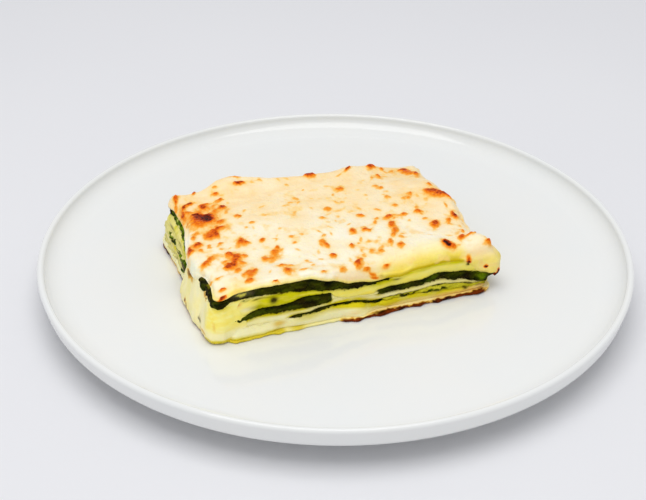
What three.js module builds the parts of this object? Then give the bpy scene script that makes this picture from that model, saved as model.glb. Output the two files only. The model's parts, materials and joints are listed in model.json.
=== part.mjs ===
// A slice of spinach lasagna on a round plate.
// Millimetres, +Z up. The origin is on the plate's axis, level with the underside of its foot ring.
// +X runs along the slice's long cut face, and that face looks towards -Y.

import * as THREE from 'three';
import { mergeVertices } from 'three/addons/utils/BufferGeometryUtils.js';

// Plate: a dinner plate with a flat floor, a low upright rim and a foot ring
const PLATE_RADIUS = 135;
const PLATE_HEIGHT = 20;
const PLATE_SIDES = 64;
const FLOOR_HEIGHT = 12;
const FLOOR_RADIUS = 120.5;
const FLOOR_THICKNESS = 3.9;
const RIM_THICKNESS = 3;
const HEEL_RADIUS = 4;
const FOOT_RADIUS = 88;
const FOOT_WIDTH = 5;
const FOOT_FLARE = 1.6;

// Slice: its length, width and place on the plate
const SLICE_LENGTH = 123.6;
const SLICE_WIDTH = 85.4;
const SLICE_CENTRE = new THREE.Vector2(-10.6, -7.2);
const HALF_LENGTH = SLICE_LENGTH / 2;
const HALF_WIDTH = SLICE_WIDTH / 2;
const GAP = 0.3;
const CELLS_ALONG = 20;
const CELLS_ACROSS = 11;
const CELL_LENGTH = SLICE_LENGTH / CELLS_ALONG;
const CELL_WIDTH = SLICE_WIDTH / CELLS_ACROSS;

// The cut face's layer depths are given at stations this far apart, from the left corner to the right one
const STATION_STEP = 10;
const FACE_DEPTH = 24;
const CORNER_ROUNDING = 1.8;
const BACK_FLAP_AT = -27;
const BACK_FLAP_REACH = 12;

// How far the upper edge of the right side stands in, at stations this far apart from the front to the back
const RIGHT_EDGE = [-0.8, 4.2, 4.0, 1.8, -0.2, -0.8, 2.4, 2.4, 1.2];
const RIGHT_EDGE_STEP = 10;

// How far the right side swells out at the front corner, and the left side stands in towards the back, at
// stations this far apart from the plate up
const RIGHT_SWELL = [1.0, 3.0, 6.9, 6.4, 4.8, 3.4, 2.2];
const LEFT_LEAN = [-0.4, -0.2, 0.3, 1.7, 3.9, 5.2, 6.0];
const HEIGHT_STEP = 5;

// A pasta sheet folded up over the left end, from part of the way back to just round the front corner
const FOLD_BACK_END = -3.6;
const FOLD_FRONT_END = -54.6;
const FOLD_THICKNESS = 2.6;
const FOLD_CORNER_RADIUS = 5;

// How far the fold's foot spreads, at stations this far apart from its back end to its front end
const FOLD_FLARES = [5.4, 6.0, 6.0, 5.4, 4.8, 4.2, 3.4, 2.8];
const FOLD_STATION = 5.9;

// The layers from the plate up. faceDepths are their depths at the stations of the cut face, depth is the
// depth deep inside, ripple the share by which that varies, and reach how far the edge stands past the slice's
// outline. behindFold says that the layer stops short of the folded sheet.
const LAYERS = [
  {
    name: 'pasta_base', finish: 'pasta', depth: 1.8, ripple: 0.1, reach: 1.2, behindFold: true,
    faceDepths: [1.2, 1.2, 1.4, 1.2, 1.2, 1.2, 1.2, 1.2, 1.4, 1.6, 1.6, 1.8, 1.8],
  },
  {
    name: 'cream_base', finish: 'cream', depth: 3.4, ripple: 0.2, reach: 0.6, behindFold: true,
    faceDepths: [3.7, 3.9, 3.9, 4.2, 4.7, 6.2, 5.8, 3.4, 3.4, 3.4, 2.8, 2.0, 1.4],
  },
  {
    name: 'spinach_lower', finish: 'spinach', depth: 2.2, ripple: 0.25, reach: 0, behindFold: true,
    faceDepths: [0.9, 0.9, 0.9, 0.9, 1.0, 1.2, 1.1, 0.9, 2.0, 2.2, 4.2, 2.8, 1.4],
  },
  {
    name: 'cream_middle', finish: 'cream', depth: 3.4, ripple: 0.2, reach: 0.2, behindFold: true,
    faceDepths: [2.3, 2.6, 3.7, 3.4, 2.7, 1.7, 1.5, 3.1, 2.4, 2.5, 2.4, 2.2, 1.6],
  },
  {
    name: 'spinach_middle', finish: 'spinach', depth: 2.6, ripple: 0.25, reach: 0.3, behindFold: true,
    faceDepths: [0.9, 1.8, 3.3, 3.4, 5.2, 4.1, 1.2, 1.8, 2.6, 2.5, 3.1, 3.9, 3.7],
  },
  {
    name: 'pasta_middle', finish: 'pasta', depth: 4.4, ripple: 0.2, reach: 0, behindFold: true,
    faceDepths: [8.6, 8.6, 6.7, 5.8, 3.1, 1.3, 3.5, 4.0, 3.2, 5.1, 4.1, 5.2, 5.1],
  },
  {
    name: 'spinach_upper', finish: 'spinach', depth: 3.2, ripple: 0.2, reach: 0.1, behindFold: false,
    faceDepths: [2.8, 4.6, 3.7, 4.7, 5.7, 4.9, 2.9, 1.1, 0.9, 0.9, 0.9, 0.9, 0.9],
  },
  {
    name: 'gratin_top', finish: 'gratin', depth: 4.2, ripple: 0.1, reach: 0.2, behindFold: false,
    faceDepths: [2.4, 2.0, 3.3, 3.4, 3.4, 5.3, 7.5, 8.8, 8.1, 7.1, 7.3, 6.2, 8.5],
  },
];

// Blisters, rises and dents of the browned top, each round and of one reach and height
const RISES = [
  { x: -34, y: 45, reach: 9, height: 4.3 },
  { x: -18, y: 46, reach: 11, height: 3.0 },
  { x: -59, y: 42, reach: 7, height: 2.0 },
  { x: -48, y: 42, reach: 6, height: 0.8 },
  { x: -4, y: 44, reach: 9, height: 1.2 },
  { x: 12, y: 43, reach: 6, height: 0.8 },
  { x: 30, y: 40, reach: 7, height: 1.8 },
  { x: 40, y: 42, reach: 6, height: 1.6 },
  { x: -51, y: 12, reach: 6, height: 1.0 },
  { x: -8, y: 6, reach: 26, height: 0.8 },
  { x: 56, y: 14, reach: 10, height: 1.2 },
  { x: 63, y: -38, reach: 8, height: 2.0 },
  { x: 61, y: -26, reach: 5, height: -1.2 },
];

// The top sinks towards its far right corner
const SINK = { x: 60, y: 43, reach: 24, height: -2.6 };

const FINISHES = {
  porcelain: { color: '#eef0ef', roughness: 0.12 },
  pasta: { color: '#ece17c', roughness: 0.45 },
  cream: { color: '#f6efc9', roughness: 0.4 },
  spinach: { color: '#2e3d14', roughness: 0.5 },
  gratin: { color: '#fbe3b8', roughness: 0.5 },
};

function materialOf(finish) {
  return new THREE.MeshStandardMaterial({ ...FINISHES[finish], metalness: 0 });
}

function meshOf(name, geometry, finish) {
  const mesh = new THREE.Mesh(geometry, materialOf(finish));
  mesh.name = name;
  return mesh;
}

const { lerp, smoothstep, clamp } = THREE.MathUtils;

// Points of an elliptical arc in the lathe's half plane, angles in degrees, both ends included
function arc(radius, height, reachOut, reachUp, fromDegrees, toDegrees, steps) {
  return Array.from({ length: steps + 1 }, (_, i) => {
    const angle = THREE.MathUtils.degToRad(lerp(fromDegrees, toDegrees, i / steps));
    return new THREE.Vector2(radius + reachOut * Math.cos(angle), height + reachUp * Math.sin(angle));
  });
}

// The plate's half section, turned about its axis
function plateGeometry() {
  const underside = FLOOR_HEIGHT - FLOOR_THICKNESS;
  const heelHeight = FLOOR_HEIGHT - 2;
  const lip = RIM_THICKNESS / 2;
  const lipRadius = PLATE_RADIUS - lip;
  const insideWall = PLATE_RADIUS - RIM_THICKNESS;
  const fillet = insideWall - FLOOR_RADIUS;
  const filletRise = PLATE_HEIGHT - lip - FLOOR_HEIGHT - 0.2;
  const footInside = FOOT_RADIUS - FOOT_WIDTH / 2;
  const footOutside = FOOT_RADIUS + FOOT_WIDTH / 2;
  const profile = [
    new THREE.Vector2(0, underside),
    new THREE.Vector2(footInside - FOOT_FLARE, underside),
    new THREE.Vector2(footInside, 0),
    new THREE.Vector2(footOutside, 0),
    new THREE.Vector2(footOutside + FOOT_FLARE, underside + 0.3),
    ...arc(PLATE_RADIUS - 1 - HEEL_RADIUS, heelHeight + HEEL_RADIUS, HEEL_RADIUS, HEEL_RADIUS, -90, 0, 3),
    ...arc(lipRadius, PLATE_HEIGHT - lip, lip, lip, 0, 180, 4),
    ...arc(FLOOR_RADIUS, FLOOR_HEIGHT + 0.2 + filletRise, fillet, filletRise, 0, -90, 5).slice(1),
    new THREE.Vector2(FLOOR_RADIUS - 3, FLOOR_HEIGHT),
    new THREE.Vector2(0, FLOOR_HEIGHT),
  ];
  return new THREE.LatheGeometry(profile, PLATE_SIDES).rotateX(Math.PI / 2);
}

// A value listed at evenly spaced stations either side of 0, read at x with an eased step between them
function atStation(values, x, step = STATION_STEP) {
  const along = clamp(x / step + (values.length - 1) / 2, 0, values.length - 1);
  const left = Math.min(Math.floor(along), values.length - 2);
  return lerp(values[left], values[left + 1], smoothstep(along - left, 0, 1));
}

// A slow ripple between -1 and 1 that differs from layer to layer
function ripple(x, y, seed) {
  return Math.sin(x / 13 + 2.1 * seed) * Math.cos(y / 11 - 1.3 * seed);
}

// The depth of layer number index at (x, y): as listed at the cut face, and even further in
function depthAt(index, x, y) {
  const layer = LAYERS[index];
  const inside = layer.depth * (1 + layer.ripple * ripple(x, y, index));
  return lerp(atStation(layer.faceDepths, x), inside, smoothstep(y + HALF_WIDTH, 0, FACE_DEPTH));
}

// The height above the plate's floor at which layer number index starts
function curvedLevel(index, x, y) {
  let level = 0;
  for (let i = 0; i < index; i++) level += depthAt(i, x, y);
  return level;
}

// The same height, read on the flat triangles of the lattice that all layers are meshed on, so that the faces
// of two neighbours stay the same distance apart everywhere
function levelAt(index, x, y) {
  const column = clamp(Math.floor((x + HALF_LENGTH) / CELL_LENGTH), 0, CELLS_ALONG - 1);
  const row = clamp(Math.floor((y + HALF_WIDTH) / CELL_WIDTH), 0, CELLS_ACROSS - 1);
  const [lineX, lineY] = [column * CELL_LENGTH - HALF_LENGTH, row * CELL_WIDTH - HALF_WIDTH];
  const [shareX, shareY] = [(x - lineX) / CELL_LENGTH, (y - lineY) / CELL_WIDTH];
  const near = curvedLevel(index, lineX, lineY);
  const far = curvedLevel(index, lineX + CELL_LENGTH, lineY + CELL_WIDTH);
  if (shareX > shareY) {
    const right = curvedLevel(index, lineX + CELL_LENGTH, lineY);
    return near + (right - near) * shareX + (far - right) * shareY;
  }
  const left = curvedLevel(index, lineX, lineY + CELL_WIDTH);
  return near + (left - near) * shareY + (far - left) * shareX;
}

function riseAt(x, y) {
  return [...RISES, SINK].reduce(
    (sum, rise) => sum + rise.height * Math.exp(-((x - rise.x) ** 2 + (y - rise.y) ** 2) / rise.reach ** 2),
    0,
  );
}

// A height above the floor, counted from the middle of the stations that are listed from the plate up
function aboveMiddle(height) {
  return height - (HEIGHT_STEP * (LEFT_LEAN.length - 1)) / 2;
}

// How far the outline stands in from the slice's full size on each side, at a height above the floor.
// The left and back sides lean in towards the top, where a flap of crust stands out at the back, and the top's
// front left part stands back on a shoulder.
// The right side swells out, most at the front, and its upper edge is notched.
const sideInset = {
  left: (y, height) => {
    const backPart = atStation(LEFT_LEAN, aboveMiddle(height), HEIGHT_STEP) * smoothstep(y, -10, 20);
    const cornerLump = 1.6 * smoothstep(y, 33, 40) * smoothstep(height, 17, 22);
    const shoulder = lerp(2.1, 3.2, smoothstep(y, -40, -32)) * smoothstep(height, 16, 19);
    return backPart - cornerLump + shoulder * (1 - smoothstep(y, -26, -17)) + 0.5 * Math.sin(y / 9);
  },
  right: (y, height) => {
    const swell = atStation(RIGHT_SWELL, aboveMiddle(height), HEIGHT_STEP);
    const notch = atStation(RIGHT_EDGE, y, RIGHT_EDGE_STEP) * smoothstep(height, 8, 20);
    return notch - lerp(swell, 2.5 + 0.4 * swell, smoothstep(y, -HALF_WIDTH, 0));
  },
  front: (x) => 0.4 * Math.sin(x / 9),
  back: (x, height) => {
    const flap = Math.exp(-(((x - BACK_FLAP_AT) / BACK_FLAP_REACH) ** 2));
    return 0.09 * height - 1 + 0.9 * Math.sin(x / 10 + 1) - 0.18 * height * flap;
  },
};

// 1 where the folded sheet covers the side of the slice, 0 where it doesn't
function coveredOnLeft(y) {
  return 1 - smoothstep(y, -3.5, 3.5);
}

function coveredOnFront(x) {
  return 1 - smoothstep(x, -54, -47);
}

// The edge of a layer beside (x, y), at a height above the floor: where each side of its outline runs.
// A layer that stops short of the folded sheet stays behind it wherever the sheet covers its side.
function outlineAt(layer, x, y, height) {
  const corner = CORNER_ROUNDING * smoothstep(Math.abs((x * y) / (HALF_LENGTH * HALF_WIDTH)), 0.8, 1);
  const behindSheet = FOLD_THICKNESS + 2 * GAP;
  const onLeft = layer.behindFold ? coveredOnLeft(y) : 0;
  const onFront = layer.behindFold ? coveredOnFront(x) : 0;
  const inset = {
    left: corner + lerp(sideInset.left(y, height) - layer.reach, behindSheet, onLeft),
    right: corner + sideInset.right(y, height) - layer.reach,
    front: corner + lerp(sideInset.front(x) - layer.reach, behindSheet, onFront),
    back: corner + sideInset.back(x, height) - layer.reach,
  };
  return {
    left: -HALF_LENGTH + inset.left,
    right: HALF_LENGTH - inset.right,
    front: -HALF_WIDTH + inset.front,
    back: HALF_WIDTH - inset.back,
  };
}

// How the edge of a layer is rounded off at a share up of its depth: in by inset, and the top face down by drop.
// The browned top's edge is sharp along the left half of the cut face, and rolls over elsewhere.
function edgeShape(isTop, u, v, up) {
  if (!isTop) return { inset: 2 * (up - 0.5) ** 2, drop: 0 };
  const roll = v < 0 ? lerp(1, 3.4, smoothstep(u, -0.3, 0.3)) : 2.2;
  const nearEdge = smoothstep(Math.max(Math.abs(u), Math.abs(v)), 0.86, 1);
  return { inset: roll * (1 - Math.sqrt(1 - 0.98 * up * up)), drop: 0.35 * roll * nearEdge };
}

// A box, 2 along each side, as one closed mesh of shared vertices. BoxGeometry splits the squares of its upper
// and lower faces along opposite diagonals, so those of the lower face, which come last, are split again the
// other way: the faces of two neighbouring layers then match.
function unitBox(stepsX, stepsY, stepsZ) {
  const box = new THREE.BoxGeometry(2, 2, 2, stepsX, stepsY, stepsZ);
  box.deleteAttribute('normal');
  box.deleteAttribute('uv');
  const geometry = mergeVertices(box);
  const corners = geometry.index.array;
  for (let i = corners.length - 6 * stepsX * stepsY; i < corners.length; i += 6) {
    const [a, b, d, , c] = corners.slice(i, i + 5);
    corners.set([a, b, c, a, c, d], i);
  }
  return geometry;
}

// One layer: a box whose upper and lower faces are bent to the levels over and under it.
// Its inner vertices stand on the lattice, and those of its sides on its outline.
function layerGeometry(index, finer) {
  const layer = LAYERS[index];
  const isTop = index === LAYERS.length - 1;
  const geometry = unitBox(CELLS_ALONG * finer, CELLS_ACROSS * finer, 1 + finer);
  const place = geometry.getAttribute('position');
  for (let i = 0; i < place.count; i++) {
    const [u, v, up] = [place.getX(i), place.getY(i), (place.getZ(i) + 1) / 2];
    let [x, y] = [u * HALF_LENGTH, v * HALF_WIDTH];
    const outline = outlineAt(layer, x, y, curvedLevel(index, x, y) + depthAt(index, x, y) / 2);
    const { inset, drop } = edgeShape(isTop, u, v, up);
    if (u === -1) x = outline.left + inset;
    if (u === 1) x = outline.right - inset;
    if (v === -1) y = outline.front + inset;
    if (v === 1) y = outline.back - inset;
    const bottom = levelAt(index, x, y) + (index === 0 ? GAP : GAP / 2);
    const top = isTop ? curvedLevel(index + 1, x, y) + riseAt(x, y) - drop : levelAt(index + 1, x, y) - GAP / 2;
    place.setXYZ(i, x, y, lerp(bottom, top, up));
  }
  return geometry;
}

// The folded sheet's centreline, in plan: forward along the left side, round the corner, along the cut face
function foldPath() {
  const left = -HALF_LENGTH + FOLD_THICKNESS / 2;
  const front = -HALF_WIDTH + FOLD_THICKNESS / 2;
  const turn = FOLD_CORNER_RADIUS - FOLD_THICKNESS / 2;
  const path = new THREE.Path();
  path.moveTo(left, FOLD_BACK_END);
  path.lineTo(left, front + turn);
  path.absarc(left + turn, front + turn, turn, Math.PI, 1.5 * Math.PI, false);
  path.lineTo(FOLD_FRONT_END, front);
  return path;
}

// The sheet folded up over the left end: a wall along foldPath that stands under the upper spinach,
// with its foot spread out on the plate
function foldGeometry(stepsAlong, stepsUp) {
  const path = foldPath();
  const geometry = unitBox(stepsAlong, 1, stepsUp);
  const place = geometry.getAttribute('position');
  const length = path.getLength();
  const middle = (FOLD_STATION * (FOLD_FLARES.length - 1)) / 2;
  const spinachUpper = LAYERS.findIndex((layer) => layer.name === 'spinach_upper');
  for (let i = 0; i < place.count; i++) {
    const [along, across, up] = [place.getX(i), place.getY(i), (place.getZ(i) + 1) / 2];
    const share = (along + 1) / 2;
    const point = path.getPointAt(share);
    const tangent = path.getTangentAt(share);
    const flare = atStation(FOLD_FLARES, share * length - middle, FOLD_STATION) * (1 - up) ** 1.2;
    const outward = across < 0 ? FOLD_THICKNESS / 2 + flare : -FOLD_THICKNESS / 2;
    const x = point.x + outward * tangent.y;
    const y = point.y - outward * tangent.x;
    const top = levelAt(spinachUpper, point.x, point.y) - 2 * GAP;
    place.setXYZ(i, x, y, lerp(GAP, top, up));
  }
  return geometry;
}

const lasagna = new THREE.Group();
lasagna.add(meshOf('plate', plateGeometry(), 'porcelain'));

const slice = new THREE.Group();
slice.position.set(SLICE_CENTRE.x, SLICE_CENTRE.y, FLOOR_HEIGHT);
LAYERS.forEach((layer, index) => {
  const finer = layer.name === 'gratin_top' ? 2 : 1;
  slice.add(meshOf(layer.name, layerGeometry(index, finer), layer.finish));
});
slice.add(meshOf('pasta_fold', foldGeometry(16, 4), 'pasta'));
lasagna.add(slice);

export default lasagna;
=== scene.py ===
import json

import bpy
import numpy as np
from mathutils import Matrix, Vector

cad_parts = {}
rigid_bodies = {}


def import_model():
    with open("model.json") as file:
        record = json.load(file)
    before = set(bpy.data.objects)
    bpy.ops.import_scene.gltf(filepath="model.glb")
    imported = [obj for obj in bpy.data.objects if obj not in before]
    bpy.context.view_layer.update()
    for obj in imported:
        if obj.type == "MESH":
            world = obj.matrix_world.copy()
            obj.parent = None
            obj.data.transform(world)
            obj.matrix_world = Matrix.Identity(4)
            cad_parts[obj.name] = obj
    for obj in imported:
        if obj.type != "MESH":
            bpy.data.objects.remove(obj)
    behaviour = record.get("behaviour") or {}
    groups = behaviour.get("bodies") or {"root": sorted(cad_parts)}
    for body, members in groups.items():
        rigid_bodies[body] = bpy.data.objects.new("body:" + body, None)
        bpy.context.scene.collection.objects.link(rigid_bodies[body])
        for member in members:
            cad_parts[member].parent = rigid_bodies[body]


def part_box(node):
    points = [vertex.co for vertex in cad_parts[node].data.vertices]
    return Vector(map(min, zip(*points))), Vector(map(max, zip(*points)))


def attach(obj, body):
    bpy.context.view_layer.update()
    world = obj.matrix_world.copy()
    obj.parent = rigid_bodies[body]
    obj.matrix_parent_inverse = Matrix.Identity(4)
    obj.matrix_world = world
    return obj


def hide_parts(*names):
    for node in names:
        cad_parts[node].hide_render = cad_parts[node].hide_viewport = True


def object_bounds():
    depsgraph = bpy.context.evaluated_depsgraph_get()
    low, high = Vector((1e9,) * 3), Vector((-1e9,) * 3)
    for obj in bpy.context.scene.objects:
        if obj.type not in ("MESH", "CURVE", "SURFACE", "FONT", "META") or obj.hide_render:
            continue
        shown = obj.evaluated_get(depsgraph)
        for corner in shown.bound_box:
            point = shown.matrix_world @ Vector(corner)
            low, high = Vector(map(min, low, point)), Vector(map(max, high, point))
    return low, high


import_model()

cad_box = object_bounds()

# The plate: a flat dinner plate of white glazed porcelain, pressed in one piece with a low upright rim and a
# foot ring. The glaze is wiped off under the foot ring, where the plate stood in the kiln.
# New surfaces are worked out in millimetres, and make_piece turns them into metres.
MM = 0.001
PLATE_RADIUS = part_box("plate")[1].x / MM
PLATE_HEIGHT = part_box("plate")[1].z / MM
FLOOR_HEIGHT = 12
FLOOR_RADIUS = 120.5
FLOOR_THICKNESS = 3.9
LIP_RADIUS = 1.5
HEEL_RADIUS = 4
FOOT_RADIUS = 88
FOOT_WIDTH = 5
FOOT_FLARE = 1.6
FOOT_ROUNDING = 0.7
PLATE_STEPS = 320
# The heights in metres between which the foot ring's bare clay turns into glaze
GLAZE_EDGE = 0.0003, 0.0006


def closed_rings(rings):
    """Points and faces of a closed surface made of rings.

    rings[i, j] is point j of ring i. Each ring closes on itself, neighbouring rings are joined by squares,
    and the first and last ring are closed by triangles to their middle points. If the volume inside comes
    out negative, the faces are turned round, so that they point outwards.
    """
    count, around = rings.shape[:2]
    points = np.concatenate([rings.reshape(-1, 3), [rings[0].mean(0)], [rings[-1].mean(0)]])
    number = np.arange(count * around).reshape(count, around)
    following = np.roll(number, -1, axis=1)
    squares = np.stack([number[:-1], following[:-1], following[1:], number[1:]], axis=-1).reshape(-1, 4)
    first, last = np.full(around, count * around), np.full(around, count * around + 1)
    fans = np.concatenate([
        np.stack([first, following[0], number[0]], axis=-1),
        np.stack([last, number[-1], following[-1]], axis=-1),
    ])
    corners = points[np.concatenate([squares[:, [0, 1, 2]], squares[:, [0, 2, 3]], fans])]
    if np.einsum("ij,ij->", corners[:, 0], np.cross(corners[:, 1], corners[:, 2])) < 0:
        squares, fans = squares[:, ::-1], fans[:, ::-1]
    return points, squares.tolist() + fans.tolist()


def make_piece(name, points, faces, node, slot, material, masks=None):
    """A smooth mesh of points in millimetres that stands for a CAD node, with masks as its attributes."""
    mesh = bpy.data.meshes.new(name)
    mesh.from_pydata((points * MM).tolist(), [], faces)
    for mask, values in (masks or {}).items():
        layer = mesh.attributes.new(mask, "FLOAT", "POINT")
        layer.data.foreach_set("value", np.asarray(values, dtype=np.float32))
    mesh.shade_smooth()
    mesh.materials.append(material)
    piece = bpy.data.objects.new(name, mesh)
    bpy.context.scene.collection.objects.link(piece)
    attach(piece, "root")
    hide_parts(node)
    return piece


def arc(radius, height, reach_out, reach_up, start, end, steps):
    """Points (radius, height) of an elliptical arc from angle start to end, in degrees."""
    angle = np.radians(np.linspace(start, end, steps))
    return np.stack([radius + reach_out * np.cos(angle), height + reach_up * np.sin(angle)], axis=1)


def plate_rings():
    """The plate's half section turned about its axis: point (radius, height) goes to
    (radius cos a, radius sin a, height) for each angle a."""
    underside = FLOOR_HEIGHT - FLOOR_THICKNESS
    inner, outer = FOOT_RADIUS - FOOT_WIDTH / 2, FOOT_RADIUS + FOOT_WIDTH / 2
    wall = PLATE_RADIUS - 2 * LIP_RADIUS
    lip_height = PLATE_HEIGHT - LIP_RADIUS
    heel_height = FLOOR_HEIGHT - 2
    section = np.concatenate([
        [[radius, underside] for radius in (1, 40, inner - FOOT_FLARE - 1)],
        arc(inner + FOOT_ROUNDING, FOOT_ROUNDING, FOOT_ROUNDING, FOOT_ROUNDING, 180, 270, 5),
        arc(outer - FOOT_ROUNDING, FOOT_ROUNDING, FOOT_ROUNDING, FOOT_ROUNDING, 270, 360, 5),
        [[outer + FOOT_FLARE, underside], [outer + FOOT_FLARE + 1, underside + 0.4]],
        arc(PLATE_RADIUS - 1 - HEEL_RADIUS, heel_height + HEEL_RADIUS, HEEL_RADIUS, HEEL_RADIUS, -90, 0, 12),
        arc(PLATE_RADIUS - LIP_RADIUS, lip_height, LIP_RADIUS, LIP_RADIUS, 0, 180, 17),
        arc(FLOOR_RADIUS, lip_height, wall - FLOOR_RADIUS, lip_height - FLOOR_HEIGHT - 0.2, 0, -90, 24)[1:],
        [[radius, FLOOR_HEIGHT] for radius in (FLOOR_RADIUS - 3, FLOOR_RADIUS - 8, 60, 1)],
    ])
    angle = np.linspace(0, 2 * np.pi, PLATE_STEPS, endpoint=False)
    radius, height = section[:, :1], section[:, 1:]
    return np.stack([radius * np.cos(angle), radius * np.sin(angle), height + 0 * angle], axis=-1)


def colour(red, green, blue):
    """A colour as seen on screen, 0 to 255, in Blender's linear values."""
    share = np.array([red, green, blue]) / 255
    linear = np.where(share < 0.04045, share / 12.92, ((share + 0.055) / 1.055) ** 2.4)
    return (*linear.tolist(), 1)


def add_node(tree, kind, inputs=None, **settings):
    """A node with its settings, and its inputs by name: each a value or another node's output."""
    node = tree.nodes.new(kind)
    for name, value in settings.items():
        setattr(node, name, value)
    for name, value in (inputs or {}).items():
        if isinstance(value, bpy.types.NodeSocket):
            tree.links.new(value, node.inputs[name])
        else:
            node.inputs[name].default_value = value
    return node


def calculate(tree, operation, first, second, clamp=False):
    """The output of a Math node on two values or outputs."""
    node = add_node(tree, "ShaderNodeMath", {0: first, 1: second}, operation=operation, use_clamp=clamp)
    return node.outputs[0]


def new_group(name, inputs, outputs):
    """An empty shader group with sockets {name: (type, default)} in and {name: type} out."""
    group = bpy.data.node_groups.new(name, "ShaderNodeTree")
    for socket, (kind, value) in inputs.items():
        group.interface.new_socket(socket, in_out="INPUT", socket_type=kind).default_value = value
    for socket, kind in outputs.items():
        group.interface.new_socket(socket, in_out="OUTPUT", socket_type=kind)
    return group, group.nodes.new("NodeGroupInput").outputs, group.nodes.new("NodeGroupOutput").inputs


def mottle_group():
    """Soft uneven patches: noise on Object coordinates at a size in metres, stretched along X, as a mask from
    0 to 1 whose edges get harder with Contrast."""
    group, given, put = new_group(
        "Mottle",
        {
            "Size": ("NodeSocketFloat", 0.002),
            "Stretch": ("NodeSocketFloat", 1.0),
            "Contrast": ("NodeSocketFloat", 2.0),
            "Detail": ("NodeSocketFloat", 3.0),
        },
        {"Mask": "NodeSocketFloat"},
    )
    place = add_node(group, "ShaderNodeTexCoord").outputs["Object"]
    squeeze = calculate(group, "DIVIDE", 1.0, given["Stretch"])
    shape = add_node(group, "ShaderNodeCombineXYZ", {"X": squeeze, "Y": 1.0, "Z": 1.0}).outputs[0]
    scaled = add_node(group, "ShaderNodeVectorMath", {0: place, 1: shape}, operation="MULTIPLY").outputs[0]
    scale = calculate(group, "DIVIDE", 1.0, given["Size"])
    noise = add_node(
        group, "ShaderNodeTexNoise", {"Vector": scaled, "Scale": scale, "Detail": given["Detail"]}
    ).outputs["Fac"]
    middle = calculate(group, "SUBTRACT", noise, 0.5)
    hard = calculate(group, "MULTIPLY", middle, given["Contrast"])
    group.links.new(calculate(group, "ADD", hard, 0.5, clamp=True), put["Mask"])
    return group


def new_material(name):
    """An empty node material, as its tree and its Principled shader."""
    material = bpy.data.materials.new(name)
    material.use_nodes = True
    return material, material.node_tree, material.node_tree.nodes["Principled BSDF"]


def grouped(tree, group, **inputs):
    """A shader group placed in a tree, with its inputs by name."""
    return add_node(tree, "ShaderNodeGroup", inputs, node_tree=group).outputs[0]


def blend_colours(tree, share, first, second):
    """A mix of two colours by a share from 0 to 1."""
    node = add_node(tree, "ShaderNodeMix", data_type="RGBA")
    for socket, value in zip((node.inputs[0], node.inputs[6], node.inputs[7]), (share, first, second)):
        if isinstance(value, bpy.types.NodeSocket):
            tree.links.new(value, socket)
        else:
            socket.default_value = value
    return node.outputs[2]


def between(tree, share, low, high):
    """A value that goes from low to high as share goes from 0 to 1."""
    return add_node(tree, "ShaderNodeMapRange", {"Value": share, "To Min": low, "To Max": high}).outputs[0]


def window(tree, value, low, high):
    """0 where a value is below low, 1 above high, and even in between."""
    node = add_node(tree, "ShaderNodeMapRange", {"Value": value, "From Min": low, "From Max": high})
    return node.outputs[0]


MOTTLE = mottle_group()


def dress(tree, shader, base, roughness, normal):
    """Links a colour, a roughness and a normal to a shader."""
    for name, output in (("Base Color", base), ("Roughness", roughness), ("Normal", normal)):
        tree.links.new(output, shader.inputs[name])


def porcelain_material():
    """White glaze with a faint unevenness in tone and gloss, and bare clay below the foot ring's edge."""
    material, tree, shader = new_material("porcelain")
    clouds = grouped(tree, MOTTLE, Size=0.03, Contrast=1.5, Detail=2.0)
    place = add_node(tree, "ShaderNodeTexCoord").outputs["Object"]
    height = add_node(tree, "ShaderNodeSeparateXYZ", {"Vector": place}).outputs["Z"]
    glazed = window(tree, height, *GLAZE_EDGE)
    glaze = blend_colours(tree, clouds, colour(243, 245, 244), colour(246, 246, 243))
    base = blend_colours(tree, glazed, colour(214, 207, 194), glaze)
    smooth = between(tree, clouds, 0.07, 0.12)
    roughness = add_node(tree, "ShaderNodeMix", {0: glazed, 2: 0.7, 3: smooth}).outputs[0]
    ripple = grouped(tree, MOTTLE, Size=0.012, Contrast=1.0, Detail=1.0)
    bump = add_node(tree, "ShaderNodeBump", {"Height": ripple, "Strength": 0.05, "Distance": 0.0004})
    dress(tree, shader, base, roughness, bump.outputs[0])
    shader.inputs["IOR"].default_value = 1.5
    return material


make_piece("porcelain_plate", *closed_rings(plate_rings()), "plate", "porcelain", porcelain_material())


# The slice of lasagna: boiled pasta sheets, thick cream sauce and chopped spinach, laid in turn in a dish,
# baked, and cut out with a knife. All its layers share the levels below, so that each lies on the next.
SLICE_X, SLICE_Y = -10.6, -7.2
HALF_LENGTH, HALF_WIDTH = 61.8, 42.7
STATION_STEP = 10
FACE_DEPTH = 24
CORNER = 3.4
FOLD_THICKNESS = 2.6
FOLD_BACK_END = -3
LOWEST = 0.15
SINK = (60, 43, 24, -2.6)
# How far the top's right edge stands in from the rest of the right side, at stations from front to back
RIGHT_EDGE = [-0.8, 4.2, 4.0, 1.8, 0.2, 2.0, 3.0, 2.4, 1.2]
RIGHT_EDGE_STEP = 10
# How far the right side swells out at the front corner, and the left side stands in towards the back, at
# stations from the plate up
RIGHT_SWELL = [1.0, 2.6, 6.0, 6.4, 4.8, 3.4, 2.2]
LEFT_LEAN = [-0.4, -0.2, 0.3, 1.7, 3.9, 5.2, 6.0]
HEIGHT_STEP = 5
# The height where a layer's flat faces are given their plan
HALF_UP = 12
# Steps along the cut face and along the left side
EDGE_STEPS = 300, 206

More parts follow.
